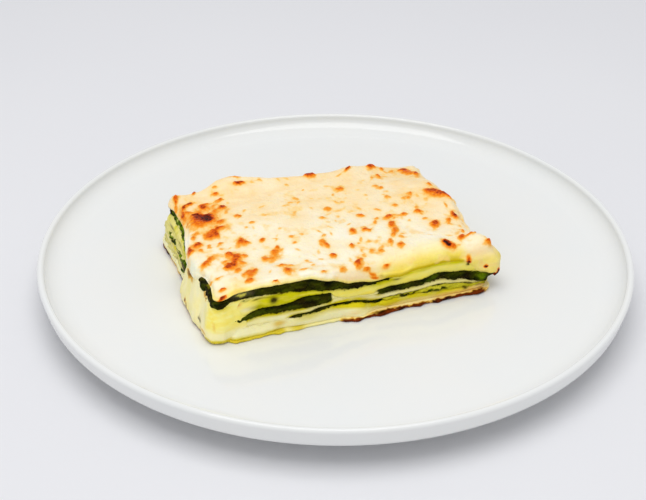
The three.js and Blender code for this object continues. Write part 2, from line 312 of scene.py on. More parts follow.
# From the plate up: the layer's depth inside, how much that ripples, its depths at the stations of the cut
# face from left to right, how far it stands past the outline, and how ragged its faces are and at what size
LAYERS = {
    "pasta_base": (
        1.8, 0.1, [1.2, 1.2, 1.4, 1.2, 1.2, 1.2, 1.2, 1.2, 1.4, 1.6, 1.6, 1.8, 1.8],
        1.2, 0.06, 9,
    ),
    "cream_base": (
        3.4, 0.2, [3.7, 3.9, 3.9, 4.2, 4.7, 6.2, 5.8, 3.4, 3.4, 3.4, 2.8, 2.0, 1.4],
        0.6, 0.06, 14,
    ),
    "spinach_lower": (
        2.2, 0.25, [0.9, 0.9, 0.9, 0.9, 1.0, 1.2, 1.1, 0.9, 1.4, 1.6, 4.0, 2.6, 1.2],
        0.0, 0.12, 8,
    ),
    "cream_middle": (
        3.4, 0.2, [2.3, 2.6, 3.7, 3.4, 2.7, 1.7, 1.5, 3.1, 2.4, 2.5, 2.4, 2.2, 1.6],
        0.2, 0.06, 15,
    ),
    "spinach_middle": (
        2.6, 0.25, [0.9, 1.8, 3.3, 3.4, 5.2, 4.1, 1.2, 1.8, 2.3, 2.2, 2.8, 3.7, 3.7],
        0.4, 0.1, 9,
    ),
    "pasta_middle": (
        4.4, 0.2, [8.6, 8.6, 6.7, 5.8, 3.1, 1.3, 3.5, 4.0, 4.5, 6.8, 5.4, 6.2, 5.3],
        0, 0.06, 16,
    ),
    "spinach_upper": (
        3.2, 0.2, [2.8, 4.6, 3.7, 4.7, 5.7, 4.9, 2.9, 1.1, 0.9, 0.9, 0.9, 0.9, 0.9],
        0.1, 0.08, 9,
    ),
    "gratin_top": (
        4.2, 0.1, [2.4, 2.0, 3.3, 3.4, 3.4, 5.3, 7.5, 8.8, 7.7, 6.3, 6.5, 5.6, 8.5],
        0.2, 0.04, 12,
    ),
}
NAMES = list(LAYERS)


def ease(value, low, high):
    """0 below low, 1 above high, and a smooth step between."""
    share = np.clip((value - low) / (high - low), 0, 1)
    return share * share * (3 - 2 * share)


def mix(first, second, share):
    """The blend of two values: the first plus the share of the way to the second."""
    return first + (second - first) * share


def bell(value, centre, reach):
    """A smooth bell: e to minus the squared distance from the centre, counted in its reach."""
    return np.exp(-(((value - centre) / reach) ** 2))


def lumps(points, size, seed):
    """Smooth noise between -1 and 1: random values on a lattice with cells of that size, eased in between."""
    table = np.random.default_rng(seed).uniform(-1, 1, (32, 32, 32))
    place = points / size + seed
    cell = np.floor(place).astype(int)
    share = place - cell
    share = share * share * (3 - 2 * share)
    total = np.zeros(points.shape[:-1])
    for corner in np.ndindex(2, 2, 2):
        weight = np.where(corner, share, 1 - share).prod(axis=-1)
        x, y, z = np.moveaxis((cell + corner) % 32, -1, 0)
        total += weight * table[x, y, z]
    return total


def rough(points, size, octaves, seed):
    """Noise of several sizes, each half as large and half as strong as the one before."""
    return sum(0.5**k * lumps(points, size * 0.5**k, seed + k) for k in range(octaves))


def at_station(values, x, step=STATION_STEP):
    """A value listed at even stations either side of 0, read at x with an eased step between them."""
    along = np.clip(x / step + (len(values) - 1) / 2, 0, len(values) - 1)
    left = np.minimum(along.astype(int), len(values) - 2)
    values = np.array(values, dtype=float)
    return mix(values[left], values[left + 1], ease(along - left, 0, 1))


def near_front(y):
    """1 at the cut face, and 0 from 16 mm behind it, with an eased step."""
    return 1 - ease(y, -HALF_WIDTH + 3, -HALF_WIDTH + 16)


def presence(name, x, y):
    """How much of a layer's depth is really there. At the cut face the spinach comes and goes."""
    gap = ease(x, -10.5, -8) * (1 - ease(x, 9.5, 12.5))
    shown = {
        "spinach_lower": mix(0.1, 1, ease(x, -31, -27)),
        "spinach_middle": mix(0.1, 1, ease(x, -55, -51) * (1 - gap)),
        "spinach_upper": mix(1, 0.1, ease(x, 15, 21)),
    }
    return mix(1, shown[name], near_front(y)) if name in shown else np.ones_like(x)


def base_depth(index, x, y):
    """A layer's depth as its solid has it: as listed at the cut face, and even further in."""
    inside, share, face = LAYERS[NAMES[index]][:3]
    ripple = np.sin(x / 13 + 2.1 * index) * np.cos(y / 11 - 1.3 * index)
    return mix(at_station(face, x), inside * (1 + share * ripple), ease(y + HALF_WIDTH, 0, FACE_DEPTH))


def hump(x, y, centre_x, centre_y, reach, height):
    """A round hump or dent: its height times e to minus the squared distance, counted in its reach."""
    return height * np.exp(-((x - centre_x) ** 2 + (y - centre_y) ** 2) / reach**2)


def full_height(x, y):
    """The solids' height without the top's rises. It sinks towards the far right corner."""
    return sum(base_depth(index, x, y) for index in range(len(NAMES))) + hump(x, y, *SINK)


def levels(x, y):
    """Heights above the plate's floor of the nine faces between the layers.

    Each layer's depth is its solid's, times e to the power of its own noise. Where spinach isn't really
    there, its depth goes in halves to the layers over and under it. The sum is then brought back to the full
    height.
    """
    x, y = np.clip(x, -HALF_LENGTH, HALF_LENGTH), np.clip(y, -HALF_WIDTH, HALF_WIDTH)
    full = full_height(x, y)
    depths = np.zeros((len(NAMES), *x.shape))
    for index, name in enumerate(NAMES):
        ragged, size = LAYERS[name][4:]
        place = np.stack([x, y, np.full_like(x, 40.0 * index)], axis=-1)
        calm = 1 - 0.65 * near_front(y)
        depth = base_depth(index, x, y) * np.exp(ragged * 1.6 * calm * rough(place, size, 2, 10 + index))
        kept = depth * presence(name, x, y)
        depths[index] += kept
        if "spinach" in name:
            depths[index - 1] += (depth - kept) / 2
            depths[index + 1] += (depth - kept) / 2
    tops = np.cumsum(depths, axis=0)
    return np.concatenate([[0 * full], tops]) * full / tops[-1]


def lower_face(name, x, y):
    """The height of a layer's lower face."""
    return levels(x, y)[NAMES.index(name)]


def side_insets(x, y, height):
    """How far each side stands in from the full size. The left and back lean in towards the top, where a flap
    of crust stands out at the back. The right side swells out, most above its middle, and its upper edge is
    notched. At the front of the left side, the top stands back on a shoulder."""
    flap = bell(x, -27, 12)
    above_middle = height - HEIGHT_STEP * (len(LEFT_LEAN) - 1) / 2
    lean = at_station(LEFT_LEAN, above_middle, HEIGHT_STEP) - 1.6 * ease(y, 33, 40) * ease(height, 17, 22)
    swell = at_station(RIGHT_SWELL, above_middle, HEIGHT_STEP)
    notch = at_station(RIGHT_EDGE, y, RIGHT_EDGE_STEP) * ease(height, 8, 20)
    shoulder = mix(2.1, 3.2, ease(y, -40, -32)) * ease(height, 16, 19) * (1 - ease(y, -26, -17))
    return {
        "left": lean * ease(y, -10, 20) + 0.5 * np.sin(y / 9) + shoulder,
        "right": notch - mix(swell, 2.5 + 0.4 * swell, ease(y, -HALF_WIDTH, 0)),
        "front": 0.4 * np.sin(x / 9),
        "back": 0.09 * height - 1 + 0.9 * np.sin(x / 10 + 1) - 0.18 * height * flap,
    }


def plan(u, v, height, behind_fold=False):
    """Where point (u, v) of a square from -1 to 1 lies on the slice at a height, and the way outwards there.

    The outer CORNER millimetres of each corner are turned from a square into a quarter disc. Then each side
    moves in by its inset, which fades towards the middle. A layer behind the folded sheet stops short of it.
    """
    x, y = u * HALF_LENGTH, v * HALF_WIDTH
    inner_x = np.clip(x, CORNER - HALF_LENGTH, HALF_LENGTH - CORNER)
    inner_y = np.clip(y, CORNER - HALF_WIDTH, HALF_WIDTH - CORNER)
    away = np.stack([x - inner_x, y - inner_y], axis=-1)
    outward = away / np.maximum(np.linalg.norm(away, axis=-1, keepdims=True), 1e-9)
    square = np.abs(away).max(axis=-1)
    inset = side_insets(x, y, height)
    if behind_fold:
        stop = FOLD_THICKNESS + 0.5
        inset["left"] = mix(inset["left"], stop, 1 - ease(y, FOLD_BACK_END + 0.5, FOLD_BACK_END + 6))
        inset["front"] = mix(inset["front"], stop, 1 - ease(x, -60, -54.5))
    x = inner_x + outward[..., 0] * square
    y = inner_y + outward[..., 1] * square
    x = x + inset["left"] * ease(-u, 0.5, 1) - inset["right"] * ease(u, 0.5, 1)
    y = y + inset["front"] * ease(-v, 0.5, 1) - inset["back"] * ease(v, 0.5, 1)
    return x, y, outward


def square_edge(steps_u, steps_v):
    """Points once round a square from -1 to 1, anticlockwise, with so many steps along u and along v."""
    u, v = np.linspace(-1, 1, steps_u + 1), np.linspace(-1, 1, steps_v + 1)
    return np.concatenate([
        np.stack([u[:-1], 0 * u[:-1] - 1], axis=1),
        np.stack([0 * v[:-1] + 1, v[:-1]], axis=1),
        np.stack([u[:0:-1], 0 * u[:0:-1] + 1], axis=1),
        np.stack([0 * v[:0:-1] - 1, v[:0:-1]], axis=1),
    ])


def recess(name, x, y):
    """How far a layer draws back from the sides: the upper spinach under the right half of the cut face's hem
    and under the flap over the left end, the bottom sheet at the back left, the middle spinach on the right
    side near the front, and the middle sheet at the right of the cut face."""
    if name == "spinach_upper":
        flap = ease(-x, HALF_LENGTH - 12, HALF_LENGTH - 4) * ease(y, -26, -20) * (1 - ease(y, -5, 1))
        return 2.2 * near_front(y) * ease(x, 16, 22) + 2.4 * flap
    if name == "pasta_base":
        return 1.0 * ease(-x, HALF_LENGTH - 12, HALF_LENGTH - 2) * ease(y, -2, 8)
    if name == "spinach_middle":
        return 2.6 * ease(x, 56, 60) * ease(y, -42, -38) * (1 - ease(y, -20, -8))
    if name == "pasta_middle":
        return 0.6 * ease(x, 46, 58) * near_front(y)
    return 0 * x


def beside(index, x, y, up):
    """How much of the neighbours is really there: of the one below at a layer's foot, of the one above at its
    top, and even in between."""
    below, above = (
        presence(NAMES[k], x, y) if 0 <= k < len(NAMES) else np.ones_like(x) for k in (index - 1, index + 1)
    )
    return mix(below, above, up)


def layer_rings(name, rows, bulge, grit, grit_size, frill=0, extra=None, ledge=0):
    """Rings of one layer: its lower face from the middle out, its wall, and its upper face back inwards.

    A wall point at share up of the depth is the outline's point, moved outwards by
    reach + bulge (sqrt(1 - (2 up - 1)^2) - 1) + grit * noise + extra(x, y, up) - recess. Where the neighbour
    isn't really there, the wall isn't rounded off, so that no groove shows.
    Where the wall bulges, a frill lifts its upper half and lowers its lower half over the neighbours' edges.
    A ledge is that many more rings between the wall's top and the upper face.
    """
    index = NAMES.index(name)
    reach = LAYERS[name][3]
    edge_u, edge_v = square_edge(*EDGE_STEPS).T
    behind = index < NAMES.index("spinach_upper")

    def face(share, low_or_high):
        x, y, _ = plan(edge_u * share, edge_v * share, HALF_UP, behind)
        return np.stack([x, y, levels(x, y)[low_or_high]], axis=-1)

    x, y, _ = plan(edge_u, edge_v, HALF_UP, behind)
    both = levels(x, y)[index : index + 2]
    wall = []
    for up in (1 - np.cos(np.linspace(0, np.pi, rows))) / 2:
        height = mix(both[0], both[1], up)
        x, y, outward = plan(edge_u, edge_v, height, behind)
        point = np.stack([x, y, height], axis=-1)
        round_off = np.sqrt(1 - (2 * up - 1) ** 2)
        out = reach + bulge * beside(index, x, y, up) * (round_off - 1) - recess(name, x, y)
        out = out + grit * rough(point, grit_size, 3, 60 + index) + (extra(x, y, up) if extra else 0)
        point[:, :2] += outward * out[:, None]
        side = np.sign(up - 0.5) * min(round_off * 1.3, 1)
        point[:, 2] += side * frill * presence(name, x, y) * rough(point * [1, 1, 0.3], 2.2, 2, 80 + index)
        wall.append(point)
    inner = (0.3, 0.7, 0.93)
    upper = face(inner[-1], index + 1)
    steps = [mix(wall[-1], upper, share) for share in np.linspace(0, 1, ledge + 2)[1:-1]]
    under = [face(share, index) for share in inner]
    over = [face(share, index + 1) for share in inner[::-1]]
    return np.stack(under + wall + steps + over)


def on_plate(rings):
    """Slice coordinates turned into the part's, kept just off the plate's floor."""
    rings = rings + [SLICE_X, SLICE_Y, FLOOR_HEIGHT]
    rings[..., 2] = np.maximum(rings[..., 2], FLOOR_HEIGHT + LOWEST)
    return rings


def slice_place(points):
    """Points of a finished piece back in the slice's own coordinates."""
    return (points - [SLICE_X, SLICE_Y, FLOOR_HEIGHT]).T


def cut_layer(name, **shape):
    """A layer's points on the plate, its faces, and its points' x, y and z on the slice."""
    points, faces = closed_rings(on_plate(layer_rings(name, **shape)))
    return points, faces, *slice_place(points)


def relief_group():
    """Uneven food surface: coarse and fine noise on Object coordinates, joined as one height in metres.
    Stretch draws it out along X."""
    group, given, put = new_group(
        "Relief",
        {
            "Size": ("NodeSocketFloat", 0.001),
            "Stretch": ("NodeSocketFloat", 1.0),
            "Depth": ("NodeSocketFloat", 0.0002),
        },
        {"Normal": "NodeSocketVector"},
    )
    coarse = grouped(group, MOTTLE, Size=given["Size"], Stretch=given["Stretch"], Contrast=1.2)
    third = calculate(group, "MULTIPLY", given["Size"], 0.3)
    fine = grouped(group, MOTTLE, Size=third, Stretch=1.0, Contrast=1.5)
    height = calculate(group, "ADD", coarse, calculate(group, "MULTIPLY", fine, 0.35))
    bump = add_node(group, "ShaderNodeBump", {"Height": height, "Distance": given["Depth"]}).outputs[0]
    group.links.new(bump, put["Normal"])
    return group


RELIEF = relief_group()


def attribute(tree, name):
    """The output of a mask that is stored in the mesh."""
    return add_node(tree, "ShaderNodeAttribute", attribute_name=name).outputs["Fac"]


def multiply(tree, first, second):
    """The product of two masks, kept between 0 and 1."""
    return calculate(tree, "MULTIPLY", first, second, clamp=True)


def wet_food(shader, specular, subsurface=0.15):
    """Moist food lets a little light in and has a soft shine."""
    shader.inputs["Specular IOR Level"].default_value = specular
    shader.inputs["Subsurface Weight"].default_value = subsurface
    shader.inputs["Subsurface Radius"].default_value = (1.0, 0.8, 0.4)
    shader.inputs["Subsurface Scale"].default_value = 0.0008


def specked(tree, body):
    """A food's own colour with dark leaf colour where its leaf mask says so."""
    shreds = grouped(tree, MOTTLE, Size=0.0015, Stretch=2.0, Contrast=3.0)
    leaf = blend_colours(tree, shreds, colour(34, 26, 0), colour(92, 84, 0))
    return blend_colours(tree, attribute(tree, "leaf"), body, leaf)


# The pasta sheets: a thin one under everything, fried brown where it touched the dish, and a thicker pair in
# the middle, stained yellow-green by the spinach. They are egg pasta, rolled flat and boiled.
def pasta_material():
    """Pale egg yellow, going milky by the milk mask, yellow-green by the stain mask, leaf-dark by the leaf
    mask, and golden and then brown by the browning mask."""
    material, tree, shader = new_material("pasta")
    streaks = grouped(tree, MOTTLE, Size=0.0016, Stretch=5.0, Contrast=2.5)
    patches = grouped(tree, MOTTLE, Size=0.006, Contrast=2.0)
    egg = blend_colours(tree, streaks, colour(252, 230, 92), colour(254, 242, 146))
    pale = blend_colours(tree, attribute(tree, "milk"), egg, colour(254, 244, 192))
    green = blend_colours(tree, patches, colour(196, 188, 0), colour(230, 220, 20))
    stain = multiply(tree, attribute(tree, "stain"), between(tree, streaks, 0.6, 1.4))
    body = specked(tree, blend_colours(tree, stain, pale, green))
    burnt = grouped(tree, MOTTLE, Size=0.0025, Stretch=2.0, Contrast=3.0)
    crisp = blend_colours(tree, burnt, colour(36, 6, 0), colour(128, 50, 0))
    golden = blend_colours(tree, streaks, colour(218, 160, 30), colour(248, 210, 110))
    toasted = window(tree, attribute(tree, "browning"), 0, 0.3)
    body = blend_colours(tree, toasted, body, golden)
    charred = window(tree, attribute(tree, "browning"), 0.3, 0.9)
    brown = multiply(tree, charred, between(tree, patches, 0.8, 1.6))
    relief = grouped(tree, RELIEF, Size=0.0016, Stretch=3.0, Depth=0.0002)
    dress(tree, shader, blend_colours(tree, brown, body, crisp), between(tree, patches, 0.3, 0.48), relief)
    wet_food(shader, specular=0.05)
    return material


PASTA = pasta_material()
# How far the bottom sheet's edge stands out of the cut face, at its stations
BASE_EDGE = [1.2, 1.4, 1.2, 0.8, 0.5, 0.3, 2.6, 3.2, 1.6, 1.3, 1.0, 1.0, 1.9]


def base_edge(x, y, up):
    """The bottom sheet's ragged edge: as listed, with two waves along x, and a crisp tip beside a notch."""
    tip = at_station(BASE_EDGE, x) + 0.9 * bell(x, 0.5, 2.2) - 1.3 * bell(x, -6.5, 2)
    return (tip + 0.35 * np.sin(x / 2.1 + 2 * np.sin(x / 5))) * near_front(y)


def share_of_depth(name, x, y, z):
    """0 at a layer's lower face and 1 at its upper face."""
    low, high = levels(x, y)[NAMES.index(name) : NAMES.index(name) + 2]
    return np.clip((z - low) / np.maximum(high - low, 0.3), 0, 1)


def by_spinach(name, x, y, z, reach):
    """1 where a layer touches spinach, and less further off, down to 0 at a distance of reach."""
    index = NAMES.index(name)
    low, high = levels(x, y)[index : index + 2]
    close = 0 * x
    for neighbour, gap in ((index - 1, z - low), (index + 1, high - z)):
        if 0 <= neighbour < len(NAMES) and "spinach" in NAMES[neighbour]:
            close = np.maximum(close, presence(NAMES[neighbour], x, y) * np.clip(1 - gap / reach, 0, 1))
    return close


def smudges(name, points):
    """Shreds of spinach that stick to a layer beside it: where closeness and noise add up to enough."""
    x, y, z = slice_place(points)
    shreds = ease(by_spinach(name, x, y, z, 1.4) + 0.4 * rough(points, 0.9, 2, 95), 0.7, 1.1)
    return np.maximum(shreds, 0.45 * by_spinach(name, x, y, z, 0.9))


def on_left(x, y):
    """1 on the part of the left side that the folded sheet leaves open."""
    return (1 - ease(x, -58.5, -56)) * ease(y, -4, 0)


def spot(x, z, centre_x, centre_z, half_length, half_height, strength=1):
    """A soft oval on a side: its strength times e to minus 0.7 of the squared distance, counted in its half
    sizes, so that half of its strength is left there. On the left side, y is given in place of x."""
    distance = ((x - centre_x) / half_length) ** 2 + ((z - centre_z) / half_height) ** 2
    return strength * np.exp(-0.7 * distance)


def spots(x, z, places):
    """Soft ovals added up, each given by its centre, its half sizes and its strength."""
    return sum(spot(x, z, *place) for place in places)


points, faces, x, y, z = cut_layer(
    "pasta_base", rows=7, bulge=0.7, grit=0.5, grit_size=3, extra=base_edge, ledge=12
)
front = 1 - ease(y, -38, -20)
fried = mix(1, ease(x, -7, -4), front)
seen_at = z + 0.66 * (y + HALF_WIDTH) + 0.7 * rough(points, 1.8, 2, 66)
thick = -0.1 + 0.3 * ease(x, 38, 46) + 0.7 * ease(x, 52, 57)
crust = fried * mix(1, mix(0.1, 0.2, ease(x, 36, 44)), ease(seen_at, thick - 0.2, thick + 0.5))
creamy = front * ease(x, -33, -29) * (1 - 0.8 * bell(x, -25, 3))
crust = crust * (1 - front * ease(seen_at, -1.3, -0.6) * bell(x, 3, 7))
golden = (bell(x, 25, 1.1) + bell(x, 35, 1.7)) * ease(rough(points, 1.2, 2, 67), -0.4, 0.2) + ease(x, 60, 63)
crust = crust * (1 - 0.75 * front * golden)
olive_part = front * (1 - fried) * (1 - creamy)
left_foot = 1 - ease(x, -60, -54)
brown_foot = ease(y, 27, 31) + bell(y, 9, 3) * 1.2 + 0.3 * ease(y, 2, 12)
crust = mix(crust, np.clip(brown_foot, 0, 1), left_foot * ease(y, 0, 5))
masks = {
    "stain": (1 - fried) * (1 - 0.8 * creamy),
    "browning": np.maximum(crust, 0.1 * olive_part),
    "leaf": 0 * x,
    "milk": 0.8 * creamy,
}
make_piece("base_sheet", points, faces, "pasta_base", "pasta", PASTA, masks)

# Leafy and milky places on the middle sheet's cut face, by x and height, and shreds on its left side, by y
SHEET_LEAVES = [
    (-35, 16.4, 1.5, 1.3, 1.4), (-42, 18.2, 4.5, 0.22, 0.9), (53.6, 15.6, 0.6, 0.5, 2.4),
    (-43, 14.4, 3.5, 0.8, 0.45), (20.4, 14.3, 1.7, 0.4, 0.9),
]
SHEET_MILKY = [(-41, 19.3, 6, 0.5, 0.7), (-47, 14.2, 2.2, 1.0, 0.8)]
SHEET_SHREDS = [(30, 15.5, 3, 0.5, 0.9), (17, 13.5, 3.5, 0.4, 0.7)]
points, faces, x, y, z = cut_layer("pasta_middle", rows=14, bulge=0.6, grit=0.5, grit_size=9)
near = near_front(y)
side = on_left(x, y)
halo = by_spinach("pasta_middle", x, y, z, 2.5)
greened = mix(0.04, 1, ease(x, -47, -38)) * mix(1, 0.2, ease(x, -15, -8)) + 0.3 * halo
# The yellow-green band in the upper part of the sheet under the hem, from x 18 to 54, is partly spinach stain
# and partly painted shade of the crease where the hem meets the sheet.
crease_stain_and_shade = ease(x, 18, 27) * (1 - ease(x, 50, 54)) * ease(share_of_depth("pasta_middle", x, y, z), 0.5, 0.8)
greened = mix(0.3 + 0.5 * halo, np.maximum(greened, crease_stain_and_shade) + spot(x, z, 15, 14.2, 4, 1.3, 0.9), near)
side_green = 0.35 + 0.35 * ease(rough(points, 4, 2, 97), -0.1, 0.4) + spot(y, z, 7, 17, 4.5, 2.2, 0.8)
milky = spots(x, z, SHEET_MILKY) * near
leaves = spots(x, z, SHEET_LEAVES) * near + spots(y, z, SHEET_SHREDS) * side
masks = {
    "stain": np.clip(mix(greened, side_green, side), 0, 1) * (1 - milky),
    "browning": spot(x, z, -50.4, 17.3, 1.1, 0.8, 0.5) * near,
    "leaf": np.clip(leaves + smudges("pasta_middle", points) * (1 - side), 0, 1),
    "milk": np.clip(milky + 0.5 * side, 0, 1),
}
make_piece("middle_sheet", points, faces, "pasta_middle", "pasta", PASTA, masks)


# The cream: two layers of white sauce with melted cheese, soft and glossy. It swells a little out of the cut
# face and takes some green from the spinach next to it.
def cream_edge(x, y, up):
    """The cream bulges out over the bottom sheet at the front left corner and at the sheet's crisp tip."""
    return (2.0 * (1 - ease(x, -42, -30)) + 2.6 * bell(x, 2.5, 5)) * (1 - up) * near_front(y)


def cream_material():
    """Warm white that goes yellow-green by the stain mask, tan by the browning mask and leaf-dark by the leaf
    mask, in small soft lumps."""
    material, tree, shader = new_material("cream")
    patches = grouped(tree, MOTTLE, Size=0.005, Stretch=2.0, Contrast=2.2)
    white = blend_colours(tree, patches, colour(255, 244, 176), colour(255, 251, 214))
    green = blend_colours(tree, patches, colour(196, 180, 0), colour(232, 214, 30))
    stain = multiply(tree, attribute(tree, "stain"), between(tree, patches, 0.6, 1.4))
    tan = blend_colours(tree, patches, colour(228, 170, 62), colour(244, 206, 120))
    body = blend_colours(tree, attribute(tree, "browning"), blend_colours(tree, stain, white, green), tan)
    relief = grouped(tree, RELIEF, Size=0.0022, Stretch=1.6, Depth=0.0003)
    dress(tree, shader, specked(tree, body), between(tree, patches, 0.22, 0.42), relief)
    wet_food(shader, specular=0.05, subsurface=0.2)
    return material


CREAM = cream_material()
# Tan places on the lower cream's cut face, by x and height
CREAM_TAN = [(0.5, 3.2, 2.5, 0.6, 0.4), (-33, 4.4, 2.0, 0.9, 0.7)]
points, faces, x, y, z = cut_layer("cream_base", rows=12, bulge=0.6, grit=0.6, grit_size=8, extra=cream_edge)
near = near_front(y)
side = on_left(x, y)
halo = by_spinach("cream_base", x, y, z, 2.6)
middle = ease(x, -30, -20) * (1 - ease(x, 50, 60))
stain = 0.12 + halo * middle + 0.3 * ease(x, -4, 8) * ease(z, 0.8, 2.5) + spot(x, z, -33, 4.5, 2, 1.1, 0.7)
stain = stain * (1 - spot(x, z, 2.5, 0.3, 4.5, 1.6, 0.9)) + spot(x, z, 17.5, 4, 3, 2, 0.7)
stain = stain + 0.9 * (1 - ease(x, -36, -31)) * (1 - ease(z, 1.2, 3.2))
stain = mix(0.15 + 0.5 * halo, stain, near)
tan = ease(x, 13, 18) * (1 - ease(z, 2.6, 4.2)) * mix(0.25, 0.8, ease(x, 36, 44)) + spots(x, z, CREAM_TAN)
tan = tan * near + 0.9 * side * ease(y, 29, 35) * (1 - ease(z, 2.2, 3.4))
masks = {
    "stain": np.clip(stain * (1 - 0.8 * side), 0, 1),
    "leaf": spot(x, z, 53, 3.6, 1, 0.5) * near,
    "browning": np.clip(tan, 0, 1),
}
make_piece("lower_cream", points, faces, "cream_base", "cream", CREAM, masks)

# Leaves on the upper cream's left side, by y and height
CREAM_LEAVES = [(4, 8.8, 3.8, 2.2, 1.3), (15, 9.8, 6, 0.8, 0.9)]
points, faces, x, y, z = cut_layer("cream_middle", rows=12, bulge=0.6, grit=0.6, grit_size=8)
near = near_front(y)
side = on_left(x, y)
halo = by_spinach("cream_middle", x, y, z, 2.2)
stain = mix(0.1, 0.55, bell(x, 0, 9)) + mix(1.3, 0.3, ease(x, 8, 16)) * halo * (1 - 0.5 * bell(x, -17, 7))
stain = mix(0.15 + 0.5 * halo, stain + 0.2 * ease(x, 16, 24), near)
leaves = spots(y, z, CREAM_LEAVES) + 0.4 * rough(points, 2.2, 2, 91)
masks = {
    "stain": np.clip(stain + side * spot(y, z, 20, 9.5, 9, 1.4, 0.5), 0, 1),
    "leaf": mix(smudges("cream_middle", points), ease(leaves, 0.45, 0.75), side),
    "browning": 0 * x,
}
make_piece("upper_cream", points, faces, "cream_middle", "cream", CREAM, masks)


# The spinach: three layers of chopped leaves, boiled and squeezed, wet and nearly black with paler stalks. At
# the cut face it stands out in ragged lumps.
def spinach_material():
    """Near-black brown-green with olive patches, fresher green by the fresh mask, yellow-green where the leaf
    mask is low, and creamy by the milk mask."""
    material, tree, shader = new_material("spinach")
    shreds = grouped(tree, MOTTLE, Size=0.0022, Stretch=3.0, Contrast=3.0)
    patches = grouped(tree, MOTTLE, Size=0.005, Stretch=1.5, Contrast=4.0)
    dark = blend_colours(tree, shreds, colour(8, 5, 0), colour(48, 38, 0))
    bright = blend_colours(tree, shreds, colour(40, 62, 0), colour(118, 146, 4))
    fresh = multiply(tree, attribute(tree, "fresh"), between(tree, patches, 0.0, 2.0))
    leaves = blend_colours(tree, fresh, dark, bright)
    juice = blend_colours(tree, shreds, colour(180, 172, 0), colour(226, 216, 60))
    body = blend_colours(tree, attribute(tree, "leaf"), juice, leaves)
    body = blend_colours(tree, attribute(tree, "milk"), body, colour(255, 246, 190))
    relief = grouped(tree, RELIEF, Size=0.0012, Stretch=2.0, Depth=0.0006)
    dress(tree, shader, body, between(tree, patches, 0.3, 0.6), relief)
    wet_food(shader, specular=0.03, subsurface=0.0)
    return material


SPINACH = spinach_material()


def upper_edge(x, y, up):
    """The upper spinach peeps out past the top sheet at the left end, most just behind the front corner."""
    return mix(1.9, 3.4, ease(y, -39, -24)) * (1 - ease(x, -60, -52)) * (1 - ease(y, -25, -20))


def middle_edge(x, y, up):
    """The middle spinach sticks out at the front right corner."""
    return 1.8 * ease(x, 56, 62) * (1 - ease(y, -43, -40))


# How much leaf shows on the left side, at stations from the fold to the far corner, for each layer
SIDE_LEAVES = {
    "spinach_lower": [1.0, 1.3, 0.1, -0.8, -1.0, -0.6, 0.2, -0.2],
    "spinach_middle": [1.3, 1.2, 0.5, 0.0, -0.1, -0.1, -0.8, -0.6],
    "spinach_upper": [-0.2, 0.4, 1.0, 0.6, -0.1, 0.8, 1.2, 0.4],
}
SIDE_STATION = 6
# Leaves in the lower spinach at the right of the cut face, by x and height
BLOTCHES = [
    (38.5, 5.3, 4, 0.5, 3.0), (42, 8.0, 4, 0.4, 2.6), (24.5, 6.0, 4.5, 0.6, 1.3), (46, 4.8, 4, 0.4, 0.6),
]
# A milky gap in the upper spinach near the left end of the cut face: its x, height and half sizes
MILKY_GAP = (-48.5, 21.7, 3.2, 1.0)


def flecked(points, patches):
    """Leaf mask: 1 on leaves, and 0 between them, where only their juice has stained the cream."""
    return ease(rough(points, 4, 2, 90) + patches, -0.1, 0.25)


for name, piece, extra in (
    ("spinach_lower", "lower_spinach", None),
    ("spinach_middle", "middle_spinach", middle_edge),
    ("spinach_upper", "upper_spinach", upper_edge),
):
    points, faces, x, y, z = cut_layer(
        name, rows=14, bulge=0.6, grit=0.9, grit_size=2, frill=0.6, extra=extra
    )
    leafy = {
        "spinach_lower": mix(1.2, spots(x, z, BLOTCHES) - 0.5, ease(x, 12, 15)),
        "spinach_middle": 1.2,
        "spinach_upper": 1.2 - spot(x, z, *MILKY_GAP, 1.5),
    }[name]
    round_sides, narrowed = (0.9, 0.3) if name == "spinach_upper" else (0.15, 1)
    side = on_left(x, y)
    side_middle = SIDE_STATION * (len(SIDE_LEAVES[name]) - 1) / 2
    side_leafy = at_station(SIDE_LEAVES[name], y - side_middle, SIDE_STATION)
    side_leafy = side_leafy - narrowed * ease(np.abs(share_of_depth(name, x, y, z) - 0.5), 0.2, 0.5)
    leafy = mix(mix(round_sides, leafy, near_front(y)), side_leafy, side)
    absent = ease(1 - presence(name, x, y), 0.1, 0.5)
    leaf = flecked(points, leafy) * (1 - absent)
    by_cut = 1 - ease(y, -28, -16)
    fresh = mix(mix(0.35, 1.3, side), 0.1 + 0.5 * ease(x, 56, 63) + 0.5 * bell(x, 36.5, 2.5), by_cut)
    pale = (0.6 if name == "spinach_middle" else 1) * absent + 0.5 * side * (1 - leaf)
    if name == "spinach_upper":
        pale = pale + spot(x, z, -48.5, 22.3, 3.2, 1.1, 0.15) * near_front(y)
    masks = {"leaf": leaf, "fresh": fresh, "milk": np.clip(pale, 0, 1)}
    make_piece(piece, points, faces, name, "spinach", SPINACH, masks)


# The top: a pasta sheet under cream and grated cheese, browned in the oven. It blisters into brown spots,
# lies thin over the left of the cut face, and hangs down over the right of it and over the left end.
# Humps and dents of the top: each x, y, reach and height
RISES = [
    (-34, 45, 9, 4.3), (-18, 46, 11, 3.0), (-59, 42, 7, 2.0), (-48, 42, 6, 0.8), (-4, 44, 9, 1.2),
    (12, 43, 6, 0.8), (30, 40, 7, 1.8), (40, 42, 6, 1.6), (-51, 12, 6, 1.0), (-8, 6, 26, 0.8),
    (56, 14, 10, 1.2), (64, -38, 8, 2.2), (61, -26, 5, -1.2),
]
# The small burnt tip at the front right corner: its x, y and reach
BURNT_TIP = (64.9, -40.8, 0.9)
TOP_LIMIT = cad_box[1].z / MM - FLOOR_HEIGHT - 0.05
